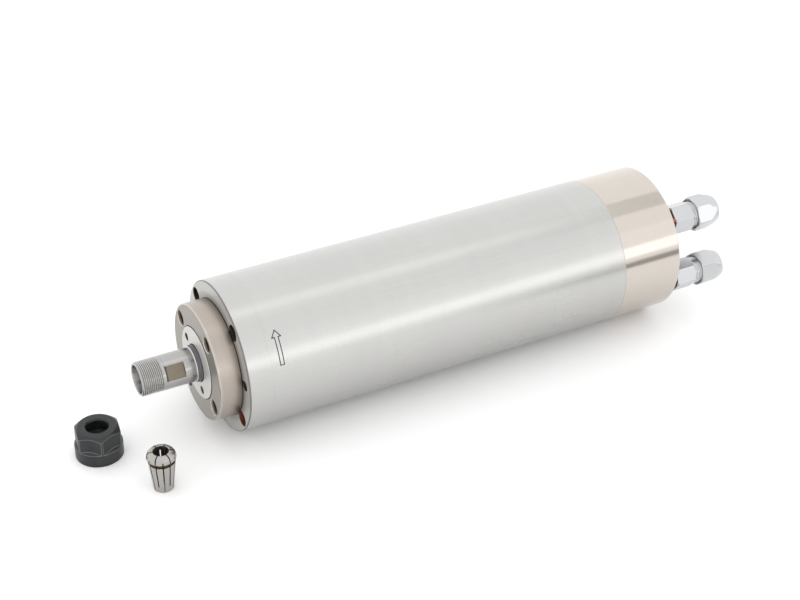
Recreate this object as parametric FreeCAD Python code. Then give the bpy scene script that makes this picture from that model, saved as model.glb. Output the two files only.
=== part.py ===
import FreeCAD
import Part
import math
import os

# Water-cooled motor spindle lying on its side, with its collet nut and collet stood on the floor beside it.
# Millimetres. +X runs along the spindle axis from the nose to the tail, +Z is up.
# The origin is on the axis, at the front face of the barrel. Angles are measured round the axis,
# from -Y (the side that faces the viewer) towards +Z.

# Barrel and its three outer sections
barrel_diameter = 62.0
front_shield_length = 10.0
rear_cap_length = 27.6
rear_edge_chamfer = 1.0
jacket_wall = 2.0

# Water sleeve between the jacket tube and the stator
sleeve_running_gap = 0.05
sleeve_wall = 4.95
channel_count = 12
channel_width = 9.0
channel_depth = 2.5
channel_end_margin = 14.0
channel_link_width = 7.0
sleeve_seal_width = 2.3
sleeve_seal_depth = 1.2
sleeve_seal_inset = 9.2
feed_drill_diameter = 2.6
feed_drill_depth = 2.95
feed_drill_overlap = 1.0

# Front bearing cover, the raised boss on the nose side
cover_height = 9.3
cover_edge_chamfer = 0.5
cover_screw_gap = 0.05
cover_spigot = 2.0
cover_web = 1.5
cover_web_bore = 18.6

# Dust ring, screwed into the cover with a two-pin wrench
ring_diameter = 29.6
ring_gap = 0.25
ring_proud = 0.4
ring_depth = 5.25
ring_bore = 15.6
ring_edge_chamfer = 0.3
ring_shoulder = 1.0
wrench_hole_diameter = 3.4
wrench_hole_depth = 2.0
wrench_hole_inset = 3.5
wrench_hole_angles = (142.6, -65.8)
small_chamfer = 0.4

# Screws, all with a socket head
screw_diameter = 3.0
screw_head_diameter = 5.5
screw_head_height = 3.0
screw_socket_flats = 2.5
screw_socket_depth = 1.6
screw_socket_angle = 30.0
tap_run_out = 1.0
screw_clearance_diameter = 3.4
counterbore_diameter = 6.5
screw_bite = 7.5
flange_screw_inset = 4.3
flange_screw_angle = 52.5
flange_counterbore_depth = 6.0
cover_screw_angle = 53.5
cover_counterbore_depth = 5.5
cover_screw_bite = 6.0
cap_screw_angle = 12.5
cap_counterbore_diameter = 6.0
cap_counterbore_depth = 4.0
screws_per_circle = 4
jack_hole_diameter = 4.0
jack_hole_gap = 0.05
jack_hole_angle = 5.5
jack_hole_depth = 7.0

# Shaft nose
nose_reach = 34.3
shaft_diameter = 14.0
tip_chamfer = 0.5
nose_thread_length = 9.2
nose_thread_mean_diameter = 13.6
flats_start = 24.4
flats_end = 16.5
flats_across = 12.4
flats_angle = 27.0
taper_mouth_diameter = 11.5
taper_half_angle = 8.0
taper_depth = 13.5
drawbore_depth = 29.0
drawbore_diameter = 7.5
taper_mouth_chamfer = 0.25

# Labyrinth collar on the shaft, behind the dust ring
collar_front = 12.1
collar_diameter = 15.0
collar_chamfer = 0.3
collar_rear_diameter = 17.8
slinger_radial_gap = 1.05
slinger_thickness = 1.2
slinger_gap = 0.6

# Front bearing pair
front_bearing_bore = 15.0
front_bearing_outer = 32.0
front_bearing_width = 9.0
front_bearing_count = 2
front_ball_diameter = 4.76

# Rear bearing
rear_bearing_bore = 12.0
rear_bearing_outer = 28.0
rear_bearing_width = 8.0
rear_ball_diameter = 4.76

# What every bearing here shares
race_wall = 2.8
raceway_clearance = 0.05
ball_set_flat = 1.6

# Rotor and shaft behind the front bearings
front_shoulder_diameter = 19.0
front_shoulder_length = 4.0
rotor_seat_diameter = 18.0
rotor_diameter = 26.5
stack_length = 90.0
rotor_end_ring_length = 4.0
rotor_end_ring_bore = 20.0
rotor_end_ring_setback = 0.3
rotor_bar_count = 16
rotor_bar_slot = 0.8
rear_step_diameter = 16.0
rear_step_length = 6.0
lock_nut_diameter = 18.0
lock_nut_length = 4.0
lock_nut_slots = 4
lock_nut_slot_width = 3.0
lock_nut_slot_depth = 1.4
lock_nut_clearance = 2.0
shaft_tail = 2.0

# Stator
air_gap = 0.35
slot_count = 12
slot_width = 3.4
slot_depth = 5.2
slot_mouth = 1.2
slot_lip = 1.0
end_turn_length = 12.0
end_turn_inner = 30.0
end_turn_outer_gap = 1.0
end_turn_chamfer = 2.0
end_turn_overlap = 1.0
front_turn_gap = 3.0
rear_turn_gap = 6.0

# Front shield behind the flange, and the rear shield
front_spigot_length = 17.0
bearing_shoulder = 2.0
shield_fit_gap = 0.05
rear_shield_flange = 6.0
rear_shield_pilot = 12.0
rear_shield_clearance = 1.0
spring_thickness = 1.4
spring_width = 1.5
spring_play = 0.2
lead_hole_diameter = 4.4

# Rear cap
cap_spigot = 3.4
cap_end_wall = 4.0
port_depth = 10.0
port_thread_diameter = 7.8
port_wall = 1.6
port_floor = 3.0
feed_drill_wall = 2.2

# Hose fittings on the rear face
fitting_inset = 6.0
fitting_angles = {"upper": 43.5, "lower": -18.5}
fitting_corner_angles = {"upper": 22.0, "lower": -8.0}
nut_corner_angles = {"upper": -5.0, "lower": 44.0}
fitting_seal_thickness = 0.8
fitting_seal_outer = 10.0
fitting_hex_flats = 11.6
fitting_hex_length = 9.6
fitting_hex_chamfer = 0.9
fitting_tip_gap = 1.0
fitting_neck_diameter = 11.4
fitting_neck_length = 7.0
fitting_barb_diameter = 4.2
fitting_barb_length = 5.2
fitting_barb_bead = 4.7
fitting_bead_length = 2.0
fitting_bead_lead = 1.6
fitting_bore = 2.6
hose_nut_flats = 13.5
hose_nut_length = 11.4
hose_nut_gaps = {"upper": 1.8, "lower": 3.0}
hose_nut_face_diameter = 13.8
hose_nut_face_chamfer = 0.8
hose_nut_end_diameter = 11.6
hose_nut_cone_length = 6.0
hose_nut_mouth_depth = 0.6
hose_nut_wall = 2.2
hose_diameter = 6.0
hose_play = 0.2
nut_thread_play = 0.05
ferrule_length = 2.0
ferrule_play = 0.05
ferrule_front_taper = 0.6
ferrule_taper_length = 1.2
ferrule_bore = 6.2

# Four-pin panel socket on the rear face
socket_nut_gap = 0.6
socket_angle = 192.5
socket_diameter = 15.8
socket_hole_play = 0.2
socket_flange_diameter = 18.6
socket_flange_thickness = 1.5
socket_reach = 12.0
socket_bore = 13.3
socket_tail = 10.0
socket_gasket_thickness = 0.5
socket_nut_diameter = 18.8
socket_nut_thickness = 2.6
insert_fit = 0.05
insert_front = 3.5
insert_tail = 1.0
pin_diameter = 1.6
pin_circle_radius = 3.9
first_pin_angle = 45.0
pin_count = 4
pin_reach = 3.8
pin_tail = 3.0
lead_diameter = 1.4
lead_bend_radius = 4.0
lead_bundle_radius = 1.15
lead_tail_run = 4.0
lead_hole_run = 1.0

# Collet nut stood on the floor
collet_nut_place = (-51.5, 2.0)
collet_nut_diameter = 19.0
collet_nut_height = 13.2
collet_nut_flats = 17.0
collet_nut_flat_depth = 7.4
collet_nut_corner_angle = 26.0
collet_nut_top_diameter = 15.2
collet_nut_top_drop = 1.65
collet_nut_bore = 8.7
collet_nut_thread_play = 0.05
collet_nut_thread_length = 7.6
collet_nut_groove_depth = 0.5
collet_nut_groove_width = 1.4
collet_nut_cone_angle = 30.0
collet_nut_edge = 0.4

# Collet stood on the floor
collet_place = (-36.6, -28.9)
collet_length = 17.5
collet_head_diameter = 11.5
collet_head_height = 2.9
collet_head_band = 0.4
collet_crown_diameter = 10.8
collet_crown_drop = 1.0
collet_top_diameter = 9.2
collet_top_drop = 0.25
collet_groove_width = 1.85
collet_groove_diameter = 9.4
collet_body_diameter = 10.7
collet_base_diameter = 7.8
collet_edge = 0.2
collet_bore = 6.0
collet_slot_width = 0.6
collet_slots_each_way = 6
collet_top_web = 1.9
collet_base_web = 2.9
collet_slot_turn = 12.0

# Places that follow from the sizes above
AXIS = FreeCAD.Vector(1, 0, 0)
UP = FreeCAD.Vector(0, 0, 1)
barrel_radius = barrel_diameter / 2
floor_height = -barrel_radius
tube_bore_radius = barrel_radius - jacket_wall
sleeve_radius = tube_bore_radius - sleeve_running_gap
sleeve_bore_radius = sleeve_radius - sleeve_wall
flange_screw_radius = barrel_radius - flange_screw_inset
cover_radius = flange_screw_radius - screw_head_diameter / 2 - cover_screw_gap
cover_screw_radius = (cover_radius + ring_diameter / 2 + ring_gap) / 2
jack_hole_radius = cover_radius + jack_hole_gap + jack_hole_diameter / 2
wrench_hole_radius = ring_diameter / 2 - wrench_hole_inset
feed_drill_radius = sleeve_radius - feed_drill_depth
fitting_radius = barrel_radius - fitting_inset
port_cavity_radius = fitting_radius - port_thread_diameter / 2 - port_wall
lead_cavity_radius = feed_drill_radius - feed_drill_diameter / 2 - feed_drill_wall
lead_hole_radius = (rear_bearing_outer / 2 + sleeve_bore_radius) / 2
socket_radius = port_cavity_radius - socket_nut_diameter / 2 - socket_nut_gap
tube_front = front_shield_length
front_bearing_front = cover_spigot
front_bearing_rear = front_bearing_front + front_bearing_count * front_bearing_width
stack_front = tube_front + front_spigot_length + front_turn_gap + end_turn_length
stack_rear = stack_front + stack_length
sleeve_rear = stack_rear + end_turn_length + rear_turn_gap + rear_shield_pilot
tube_rear = sleeve_rear + rear_shield_flange + cap_spigot
rear_face = tube_rear + rear_cap_length
rear_bearing_front = sleeve_rear - rear_shield_pilot + bearing_shoulder
rear_bearing_rear = rear_bearing_front + rear_bearing_width
spring_rear = rear_bearing_rear + spring_thickness
rear_shield_rear = sleeve_rear + rear_shield_flange
hex_front = rear_face + fitting_seal_thickness
hex_rear = hex_front + fitting_hex_length


def polar(radius, angle, x=0.0):
    """Point at a radius and an angle round the spindle axis."""
    turn = math.radians(angle)
    return FreeCAD.Vector(x, -radius * math.cos(turn), radius * math.sin(turn))


def rod(radius, start, end, centre=None):
    """Cylinder along X from start to end, on the spindle axis or on a parallel one."""
    centre = centre or FreeCAD.Vector(0, 0, 0)
    base = FreeCAD.Vector(start, centre.y, centre.z)
    return Part.makeCylinder(radius, end - start, base, AXIS)


def ring(outer, inner, start, end, centre=None):
    """Plain ring along X."""
    return rod(outer, start, end, centre).cut(rod(inner, start, end, centre))


def turned(profile):
    """Solid turned about X from (x, radius) points of a closed outline."""
    points = [FreeCAD.Vector(x, 0, radius) for x, radius in profile]
    face = Part.Face(Part.makePolygon(points + [points[0]]))
    return face.revolve(FreeCAD.Vector(0, 0, 0), AXIS, 360)


def turned_upright(profile, place):
    """Solid turned about a vertical axis from (radius, height above the floor) points."""
    points = [FreeCAD.Vector(radius, 0, height) for radius, height in profile]
    face = Part.Face(Part.makePolygon(points + [points[0]]))
    solid = face.revolve(FreeCAD.Vector(0, 0, 0), UP, 360)
    solid.translate(FreeCAD.Vector(place[0], place[1], floor_height))
    return solid


def hexagon(flats, start, end, centre, corner_angle):
    """Hexagonal bar along X with one corner at an angle from -Y towards +Z."""
    corners = [polar(flats / math.sqrt(3), corner_angle + 60 * k, start) for k in range(6)]
    corners = [c + FreeCAD.Vector(0, centre.y, centre.z) for c in corners]
    face = Part.Face(Part.makePolygon(corners + [corners[0]]))
    return face.extrude(FreeCAD.Vector(end - start, 0, 0))


def spun(shape, angle):
    """Copy of a shape turned about the spindle axis, from -Y towards +Z."""
    copy = shape.copy()
    copy.rotate(FreeCAD.Vector(0, 0, 0), AXIS, -angle)
    return copy


def around(shape, count, first=0.0):
    """Copies of a shape spaced evenly round the spindle axis."""
    return [spun(shape, first + 360.0 * k / count) for k in range(count)]


def at(shape, centre):
    """Copy of a shape moved in Y and Z onto a parallel axis."""
    copy = shape.copy()
    copy.translate(FreeCAD.Vector(0, centre.y, centre.z))
    return copy


def cut_all(shape, tools):
    """Shape with each tool cut away."""
    for tool in tools:
        shape = shape.cut(tool)
    return shape


def fuse_all(shapes):
    """One solid from touching or crossing ones."""
    whole = shapes[0]
    for shape in shapes[1:]:
        whole = whole.fuse(shape)
    return whole.removeSplitter()


def screw_circle(radius, angle, head_rear, tip):
    """Socket head screws round the axis; the head ends at head_rear and the tip points to tip."""
    way = 1 if tip > head_rear else -1
    seat = head_rear + way * screw_head_height
    screws = []
    for k in range(screws_per_circle):
        centre = polar(radius, angle + 360.0 * k / screws_per_circle)
        head = rod(screw_head_diameter / 2, min(head_rear, seat), max(head_rear, seat), centre)
        shank = rod(screw_diameter / 2, min(seat, tip), max(seat, tip), centre)
        deep = head_rear + way * screw_socket_depth
        socket = hexagon(screw_socket_flats, min(head_rear, deep), max(head_rear, deep), centre,
                         screw_socket_angle)
        screws.append(head.fuse(shank).cut(socket))
    return screws


def holes_on_circle(radius, angle, diameter, start, end, count=screws_per_circle):
    """Cylinders to cut, evenly spaced on a circle about the axis."""
    return [rod(diameter / 2, start, end, polar(radius, angle + 360.0 * k / count))
            for k in range(count)]


def bearing(bore, outer, width, front, ball_diameter):
    """Inner ring, outer ring and ball set of one ball bearing with its front face at front."""
    pitch = (bore + outer) / 4
    middle = front + width / 2
    flat = ball_set_flat / 2

    def track(radius):
        return turned([(middle - radius, pitch - flat), (middle - flat, pitch - radius),
                       (middle + flat, pitch - radius), (middle + radius, pitch - flat),
                       (middle + radius, pitch + flat), (middle + flat, pitch + radius),
                       (middle - flat, pitch + radius), (middle - radius, pitch + flat)])

    race = track(ball_diameter / 2 + raceway_clearance)
    inner = ring(bore / 2 + race_wall, bore / 2, front, front + width).cut(race)
    outside = ring(outer / 2, outer / 2 - race_wall, front, front + width).cut(race)
    return inner, outside, track(ball_diameter / 2)


def save(name, shapes):
    """Write one STEP file that holds the given solids."""
    shapes = shapes if isinstance(shapes, list) else [shapes]
    solids = [solid for shape in shapes for solid in shape.Solids]
    whole = solids[0] if len(solids) == 1 else Part.makeCompound(solids)
    whole.exportStep(os.path.join("parts", name + ".step"))


def front_shield():
    """Flange with the bearing housing and the spigot that centres it in the water sleeve."""
    spigot_rear = tube_front + front_spigot_length
    shoulder_bore = front_bearing_outer / 2 - bearing_shoulder
    body = rod(barrel_radius, 0, tube_front)
    body = body.fuse(rod(sleeve_bore_radius - shield_fit_gap, tube_front, spigot_rear))
    body = body.cut(rod(front_bearing_outer / 2, 0, front_bearing_rear))
    body = body.cut(rod(shoulder_bore, front_bearing_rear, spigot_rear))
    tools = holes_on_circle(flange_screw_radius, flange_screw_angle, screw_clearance_diameter,
                            0, tube_front)
    tools += holes_on_circle(flange_screw_radius, flange_screw_angle, counterbore_diameter,
                             0, flange_counterbore_depth)
    tools += holes_on_circle(cover_screw_radius, cover_screw_angle, screw_diameter,
                             0, cover_screw_bite + tap_run_out)
    tools += holes_on_circle(jack_hole_radius, jack_hole_angle, jack_hole_diameter,
                             0, jack_hole_depth, 2)
    return cut_all(body, tools)


def bearing_cover():
    """Raised boss that clamps the front bearings and carries the dust ring."""
    seat = ring_depth - cover_height - ring_proud
    radius = cover_radius
    edge = cover_edge_chamfer
    profile = [(-cover_height, ring_diameter / 2 + ring_gap), (-cover_height, radius - edge),
               (edge - cover_height, radius), (0, radius),
               (0, front_bearing_outer / 2 - shield_fit_gap),
               (cover_spigot, front_bearing_outer / 2 - shield_fit_gap),
               (cover_spigot, front_bearing_outer / 2 - race_wall), (0, cover_web_bore / 2),
               (-cover_web, cover_web_bore / 2), (-cover_web, ring_diameter / 2 - ring_shoulder),
               (seat, ring_diameter / 2 - ring_shoulder), (seat, ring_diameter / 2 + ring_gap)]
    body = turned(profile)
    tools = holes_on_circle(cover_screw_radius, cover_screw_angle, screw_clearance_diameter,
                            -cover_height, 0)
    tools += holes_on_circle(cover_screw_radius, cover_screw_angle, counterbore_diameter,
                             -cover_height, cover_counterbore_depth - cover_height)
    return cut_all(body, tools)


def dust_ring():
    """Ring with two wrench holes that closes the labyrinth."""
    front = -cover_height - ring_proud
    radius = ring_diameter / 2
    body = turned([(front, ring_bore / 2), (front, radius - ring_edge_chamfer),
                   (front + ring_edge_chamfer, radius), (front + ring_depth, radius),
                   (front + ring_depth, ring_bore / 2)])
    tools = [rod(wrench_hole_diameter / 2, front, front + wrench_hole_depth,
                 polar(wrench_hole_radius, angle)) for angle in wrench_hole_angles]
    return cut_all(body, tools)


def jacket_tube():
    """Outer stainless tube."""
    return ring(barrel_radius, tube_bore_radius, tube_front, tube_rear)


def channel_angle(index):
    """Angle of one water channel; the first and the last lie under the two hose fittings."""
    first = fitting_angles["upper"]
    last = fitting_angles["lower"] + 360
    return first + (last - first) * index / (channel_count - 1)


def arc_cut(outer, inner, start, end, first, last):
    """Part of a ring between two angles, to cut a passage."""
    sector = Part.makeCylinder(outer, end - start, FreeCAD.Vector(start, 0, 0), AXIS, last - first)
    hollow = rod(inner, start, end)
    # A sector starts in the plane of its own seam, so it is turned until it starts at the first angle.
    seam = sector.cut(hollow).Solids[0]
    middle = seam.CenterOfMass
    found = math.degrees(math.atan2(middle.z, -middle.y))
    return spun(seam, (first + last) / 2 - found)


def water_sleeve():
    """Sleeve round the stator with a channel that runs to and fro along it."""
    body = ring(sleeve_radius, sleeve_bore_radius, tube_front, sleeve_rear)
    channel_front = tube_front + channel_end_margin
    channel_rear = sleeve_rear - channel_end_margin
    floor_radius = sleeve_radius - channel_depth
    tools = []
    for k in range(channel_count):
        slot = Part.makeBox(channel_rear - channel_front, channel_depth * 2, channel_width,
                            FreeCAD.Vector(channel_front, -floor_radius - channel_depth * 2,
                                           -channel_width / 2))
        tools.append(spun(slot, channel_angle(k)))
    for k in range(channel_count - 1):
        start = channel_front if k % 2 == 0 else channel_rear - channel_link_width
        tools.append(arc_cut(sleeve_radius + 1, floor_radius, start, start + channel_link_width,
                             channel_angle(k), channel_angle(k + 1)))
    for x in (tube_front + sleeve_seal_inset, sleeve_rear - sleeve_seal_inset - sleeve_seal_width):
        tools.append(ring(sleeve_radius + 1, sleeve_radius - sleeve_seal_depth, x, x + sleeve_seal_width))
    tools += holes_on_circle(flange_screw_radius, flange_screw_angle, screw_diameter,
                             tube_front, tube_front + screw_bite + tap_run_out)
    tools += holes_on_circle(flange_screw_radius, cap_screw_angle, screw_diameter,
                             sleeve_rear - screw_bite - tap_run_out, sleeve_rear)
    for angle in fitting_angles.values():
        tools.append(rod(feed_drill_diameter / 2, channel_rear - feed_drill_overlap, sleeve_rear,
                         polar(feed_drill_radius, angle)))
    return cut_all(body, tools)


def sleeve_seals():
    """Two rubber rings squeezed between the sleeve and the jacket tube."""
    seals = []
    for x in (tube_front + sleeve_seal_inset, sleeve_rear - sleeve_seal_inset - sleeve_seal_width):
        seals.append(ring(tube_bore_radius, sleeve_radius - sleeve_seal_depth,
                          x, x + sleeve_seal_width))
    return seals


def stator_core():
    """Stack with open slots for the windings."""
    inner = rotor_diameter / 2 + air_gap
    body = ring(sleeve_bore_radius, inner, stack_front, stack_rear)
    deep = inner + slot_lip
    slot = Part.makeBox(stack_length, slot_depth, slot_width,
                        FreeCAD.Vector(stack_front, -deep - slot_depth, -slot_width / 2))
    mouth = Part.makeBox(stack_length, slot_lip + inner / 2, slot_mouth,
                         FreeCAD.Vector(stack_front, -deep, -slot_mouth / 2))
    return cut_all(body, around(slot.fuse(mouth), slot_count))


def stator_windings():
    """Coils through the slots, with rounded end turns at both ends of the stack."""
    deep = rotor_diameter / 2 + air_gap + slot_lip
    bar = Part.makeBox(stack_length + 2 * end_turn_overlap, slot_depth, slot_width,
                       FreeCAD.Vector(stack_front - end_turn_overlap, -deep - slot_depth, -slot_width / 2))
    shapes = around(bar, slot_count)
    for start, way in ((stack_front, -1), (stack_rear, 1)):
        end = start + way * end_turn_length
        turn = ring(sleeve_bore_radius - end_turn_outer_gap, end_turn_inner / 2,
                    min(start, end), max(start, end))
        rims = [edge for edge in turn.Edges
                if abs(edge.BoundBox.XMin - end) < 1e-6 and edge.BoundBox.XLength < 1e-6]
        shapes.append(turn.makeChamfer(end_turn_chamfer, rims))
    return fuse_all(shapes)


def rear_shield():
    """Disc that carries the rear bearing and passes the water and the leads."""
    pilot_front = sleeve_rear - rear_shield_pilot
    nut_bore = lock_nut_diameter / 2 + lock_nut_clearance
    body = rod(sleeve_bore_radius - shield_fit_gap, pilot_front, sleeve_rear)
    body = body.fuse(rod(sleeve_radius, sleeve_rear, rear_shield_rear))
    tools = [rod(rear_bearing_bore / 2 + race_wall + rear_shield_clearance, pilot_front, rear_bearing_front),
             rod(rear_bearing_outer / 2, rear_bearing_front, spring_rear),
             rod(nut_bore, spring_rear, rear_shield_rear),
             rod(lead_hole_diameter / 2, pilot_front, rear_shield_rear,
                 polar(lead_hole_radius, socket_angle))]
    tools += holes_on_circle(flange_screw_radius, cap_screw_angle, screw_clearance_diameter,
                             sleeve_rear, rear_shield_rear)
    for angle in fitting_angles.values():
        tools.append(rod(feed_drill_diameter / 2, sleeve_rear, rear_shield_rear,
                         polar(feed_drill_radius, angle)))
    return cut_all(body, tools)


def rear_cap():
    """End cap with the water ports, the lead cavity and the socket hole."""
    chamfer = rear_edge_chamfer
    start = tube_rear - cap_spigot
    body = turned([(start, 0), (start, sleeve_radius), (tube_rear, sleeve_radius),
                   (tube_rear, barrel_radius), (rear_face - chamfer, barrel_radius),
                   (rear_face, barrel_radius - chamfer), (rear_face, 0)])
    tools = [rod(lead_cavity_radius, start, rear_face - port_depth - port_floor),
             rod(port_cavity_radius, start, rear_face - cap_end_wall),
             rod((socket_diameter + socket_hole_play) / 2, rear_face - cap_end_wall, rear_face,
                 polar(socket_radius, socket_angle))]
    tools += holes_on_circle(flange_screw_radius, cap_screw_angle, screw_clearance_diameter,
                             start, rear_face)
    tools += holes_on_circle(flange_screw_radius, cap_screw_angle, cap_counterbore_diameter,
                             rear_face - cap_counterbore_depth, rear_face)
    for angle in fitting_angles.values():
        tools.append(rod(port_thread_diameter / 2, rear_face - port_depth, rear_face,
                         polar(fitting_radius, angle)))
        tools.append(rod(feed_drill_diameter / 2, start, rear_face - port_depth,
                         polar(feed_drill_radius, angle)))
    return cut_all(body, tools)


def preload_spring():
    """Wave washer that pushes on the outer ring of the rear bearing."""
    outer = rear_bearing_outer / 2 - spring_play
    return ring(outer, outer - spring_width, rear_bearing_rear, spring_rear)


def spindle_shaft():
    """Shaft with the collet taper, the nut thread and the wrench flats on its nose."""
    radius = shaft_diameter / 2
    tip = -nose_reach
    shoulder_rear = front_bearing_rear + front_shoulder_length
    step_front = rear_bearing_front - rear_step_length
    tail = spring_rear + lock_nut_length + shaft_tail
    thread = nose_thread_mean_diameter / 2
    thread_end = tip + nose_thread_length
    body = turned([(tip, 0), (tip, thread - tip_chamfer), (tip + tip_chamfer, thread),
                   (thread_end, thread), (thread_end, radius), (front_bearing_front, radius),
                   (front_bearing_front, front_bearing_bore / 2),
                   (front_bearing_rear, front_bearing_bore / 2),
                   (front_bearing_rear, front_shoulder_diameter / 2),
                   (shoulder_rear, front_shoulder_diameter / 2),
                   (shoulder_rear, rotor_seat_diameter / 2), (step_front, rotor_seat_diameter / 2),
                   (step_front, rear_step_diameter / 2), (rear_bearing_front, rear_step_diameter / 2),
                   (rear_bearing_front, rear_bearing_bore / 2), (tail, rear_bearing_bore / 2), (tail, 0)])
    mouth = taper_mouth_diameter / 2
    narrow = mouth - taper_depth * math.tan(math.radians(taper_half_angle))
    bore_radius = drawbore_diameter / 2
    socket = turned([(tip, 0), (tip, mouth + taper_mouth_chamfer), (tip + taper_mouth_chamfer, mouth),
                     (tip + taper_depth, narrow), (tip + taper_depth, bore_radius),
                     (tip + drawbore_depth, bore_radius),
                     (tip + drawbore_depth + bore_radius / 2, 0)])
    block = Part.makeBox(flats_start - flats_end, radius, shaft_diameter,
                         FreeCAD.Vector(-flats_start, -flats_across / 2 - radius, -radius))
    flats = [spun(block, flats_angle), spun(block, flats_angle + 180)]
    return cut_all(body, [socket] + flats)


def labyrinth_collar():
    """Collar with a slinger disc that turns inside the dust ring."""
    bore = shaft_diameter / 2
    ring_rear = -cover_height - ring_proud + ring_depth
    disc_front = ring_rear + slinger_gap
    disc_rear = disc_front + slinger_thickness
    slinger = ring_diameter / 2 - ring_shoulder - slinger_radial_gap
    return turned([(-collar_front, bore), (-collar_front, collar_diameter / 2 - collar_chamfer),
                   (collar_chamfer - collar_front, collar_diameter / 2), (disc_front, collar_diameter / 2),
                   (disc_front, slinger), (disc_rear, slinger),
                   (disc_rear, collar_rear_diameter / 2),
                   (front_bearing_front, collar_rear_diameter / 2), (front_bearing_front, bore)])


def rotor_core():
    """Rotor stack with narrow bar slots."""
    radius = rotor_diameter / 2
    body = ring(radius, rotor_seat_diameter / 2, stack_front, stack_rear)
    slot = Part.makeBox(stack_length, rotor_bar_slot, rotor_bar_slot,
                        FreeCAD.Vector(stack_front, -radius - 0.1, -rotor_bar_slot / 2))
    return cut_all(body, around(slot, rotor_bar_count))


def rotor_end_rings():
    """Cast rings that join the rotor bars at both ends."""
    outer = rotor_diameter / 2 - rotor_end_ring_setback
    return [ring(outer, rotor_end_ring_bore / 2, stack_front - rotor_end_ring_length, stack_front),
            ring(outer, rotor_end_ring_bore / 2, stack_rear, stack_rear + rotor_end_ring_length)]


def shaft_lock_nut():
    """Slotted round nut that holds the rear bearing on the shaft."""
    radius = lock_nut_diameter / 2
    body = ring(radius, rear_bearing_bore / 2, rear_bearing_rear, rear_bearing_rear + lock_nut_length)
    slot = Part.makeBox(lock_nut_length, lock_nut_slot_depth * 2, lock_nut_slot_width,
                        FreeCAD.Vector(rear_bearing_rear, -radius - lock_nut_slot_depth,
                                       -lock_nut_slot_width / 2))
    return cut_all(body, around(slot, lock_nut_slots))


def hose_fitting(name):
    """Hexagonal fitting with its port thread, its neck thread and its hose barb."""
    centre = polar(fitting_radius, fitting_angles[name])
    corner = fitting_hex_flats / math.sqrt(3)
    port_front = rear_face - port_depth + fitting_tip_gap
    neck_rear = hex_rear + fitting_neck_length
    barb_rear = neck_rear + fitting_barb_length
    round_off = turned([(hex_front, 0), (hex_front, corner), (hex_rear - fitting_hex_chamfer, corner),
                        (hex_rear, fitting_hex_flats / 2), (hex_rear, 0)])
    body = hexagon(fitting_hex_flats, hex_front, hex_rear, centre, fitting_corner_angles[name])
    body = body.common(at(round_off, centre))
    stem = turned([(port_front, 0), (port_front, port_thread_diameter / 2 - small_chamfer),
                   (port_front + small_chamfer, port_thread_diameter / 2),
                   (hex_rear, port_thread_diameter / 2), (hex_rear, fitting_neck_diameter / 2),
                   (neck_rear - small_chamfer, fitting_neck_diameter / 2),
                   (neck_rear, fitting_neck_diameter / 2 - small_chamfer),
                   (neck_rear, fitting_barb_diameter / 2),
                   (barb_rear - fitting_bead_length, fitting_barb_diameter / 2),
                   (barb_rear - fitting_bead_lead, fitting_barb_bead / 2),
                   (barb_rear, fitting_barb_diameter / 2 - small_chamfer / 2), (barb_rear, 0)])
    body = fuse_all([body, at(stem, centre)])
    return body.cut(rod(fitting_bore / 2, port_front, barb_rear, centre))


def fitting_seals():
    """Sealing washers under the hexagons."""
    seals = []
    for angle in fitting_angles.values():
        seals.append(ring(fitting_seal_outer / 2, port_thread_diameter / 2, rear_face, hex_front,
                          polar(fitting_radius, angle)))
    return seals


def hose_nut(name):
    """Cap nut that squeezes the ferrule on the hose."""
    centre = polar(fitting_radius, fitting_angles[name])
    corner = hose_nut_flats / math.sqrt(3)
    front = hex_rear + hose_nut_gaps[name]
    rear = front + hose_nut_length
    body = hexagon(hose_nut_flats, front, rear, centre, nut_corner_angles[name])
    envelope = turned([(front, 0), (front, hose_nut_face_diameter / 2),
                       (front + hose_nut_face_chamfer, corner), (rear - hose_nut_cone_length, corner),
                       (rear, hose_nut_end_diameter / 2), (rear, 0)])
    thread = fitting_neck_diameter / 2 + nut_thread_play
    hole = (hose_diameter + hose_play) / 2
    hollow = turned([(front, 0), (front, thread + hose_nut_mouth_depth),
                     (front + hose_nut_mouth_depth, thread), (rear - hose_nut_wall, thread),
                     (rear - hose_nut_wall, hole), (rear, hole), (rear, 0)])
    return body.common(at(envelope, centre)).cut(at(hollow, centre))


def ferrule(name):
    """Clamping ring inside the cap nut, carried by it along the axis."""
    centre = polar(fitting_radius, fitting_angles[name])
    rear = hex_rear + hose_nut_gaps[name] + hose_nut_length - hose_nut_wall
    outer = fitting_neck_diameter / 2 + nut_thread_play - ferrule_play
    front = rear - ferrule_length
    cone = turned([(front, ferrule_bore / 2), (front, outer - ferrule_front_taper),
                   (front + ferrule_taper_length, outer), (rear, outer), (rear, ferrule_bore / 2)])
    return at(cone, centre)


def socket_shell():
    """Threaded metal shell of the panel socket."""
    front = rear_face + socket_gasket_thickness
    flange_rear = front + socket_flange_thickness
    radius = socket_diameter / 2
    mouth = front + socket_reach
    start = rear_face - socket_tail
    body = turned([(start, socket_bore / 2), (start, radius), (front, radius),
                   (front, socket_flange_diameter / 2), (flange_rear, socket_flange_diameter / 2),
                   (flange_rear, radius), (mouth - small_chamfer, radius), (mouth, radius - small_chamfer),
                   (mouth, socket_bore / 2)])
    return at(body, polar(socket_radius, socket_angle))


def socket_gasket():
    """Thin gasket under the socket flange."""
    return ring(socket_flange_diameter / 2, (socket_diameter + socket_hole_play) / 2, rear_face,
                rear_face + socket_gasket_thickness, polar(socket_radius, socket_angle))


def socket_nut():
    """Round nut that holds the socket from inside the cap."""
    return ring(socket_nut_diameter / 2, socket_diameter / 2,
                rear_face - cap_end_wall - socket_nut_thickness, rear_face - cap_end_wall,
                polar(socket_radius, socket_angle))


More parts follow.
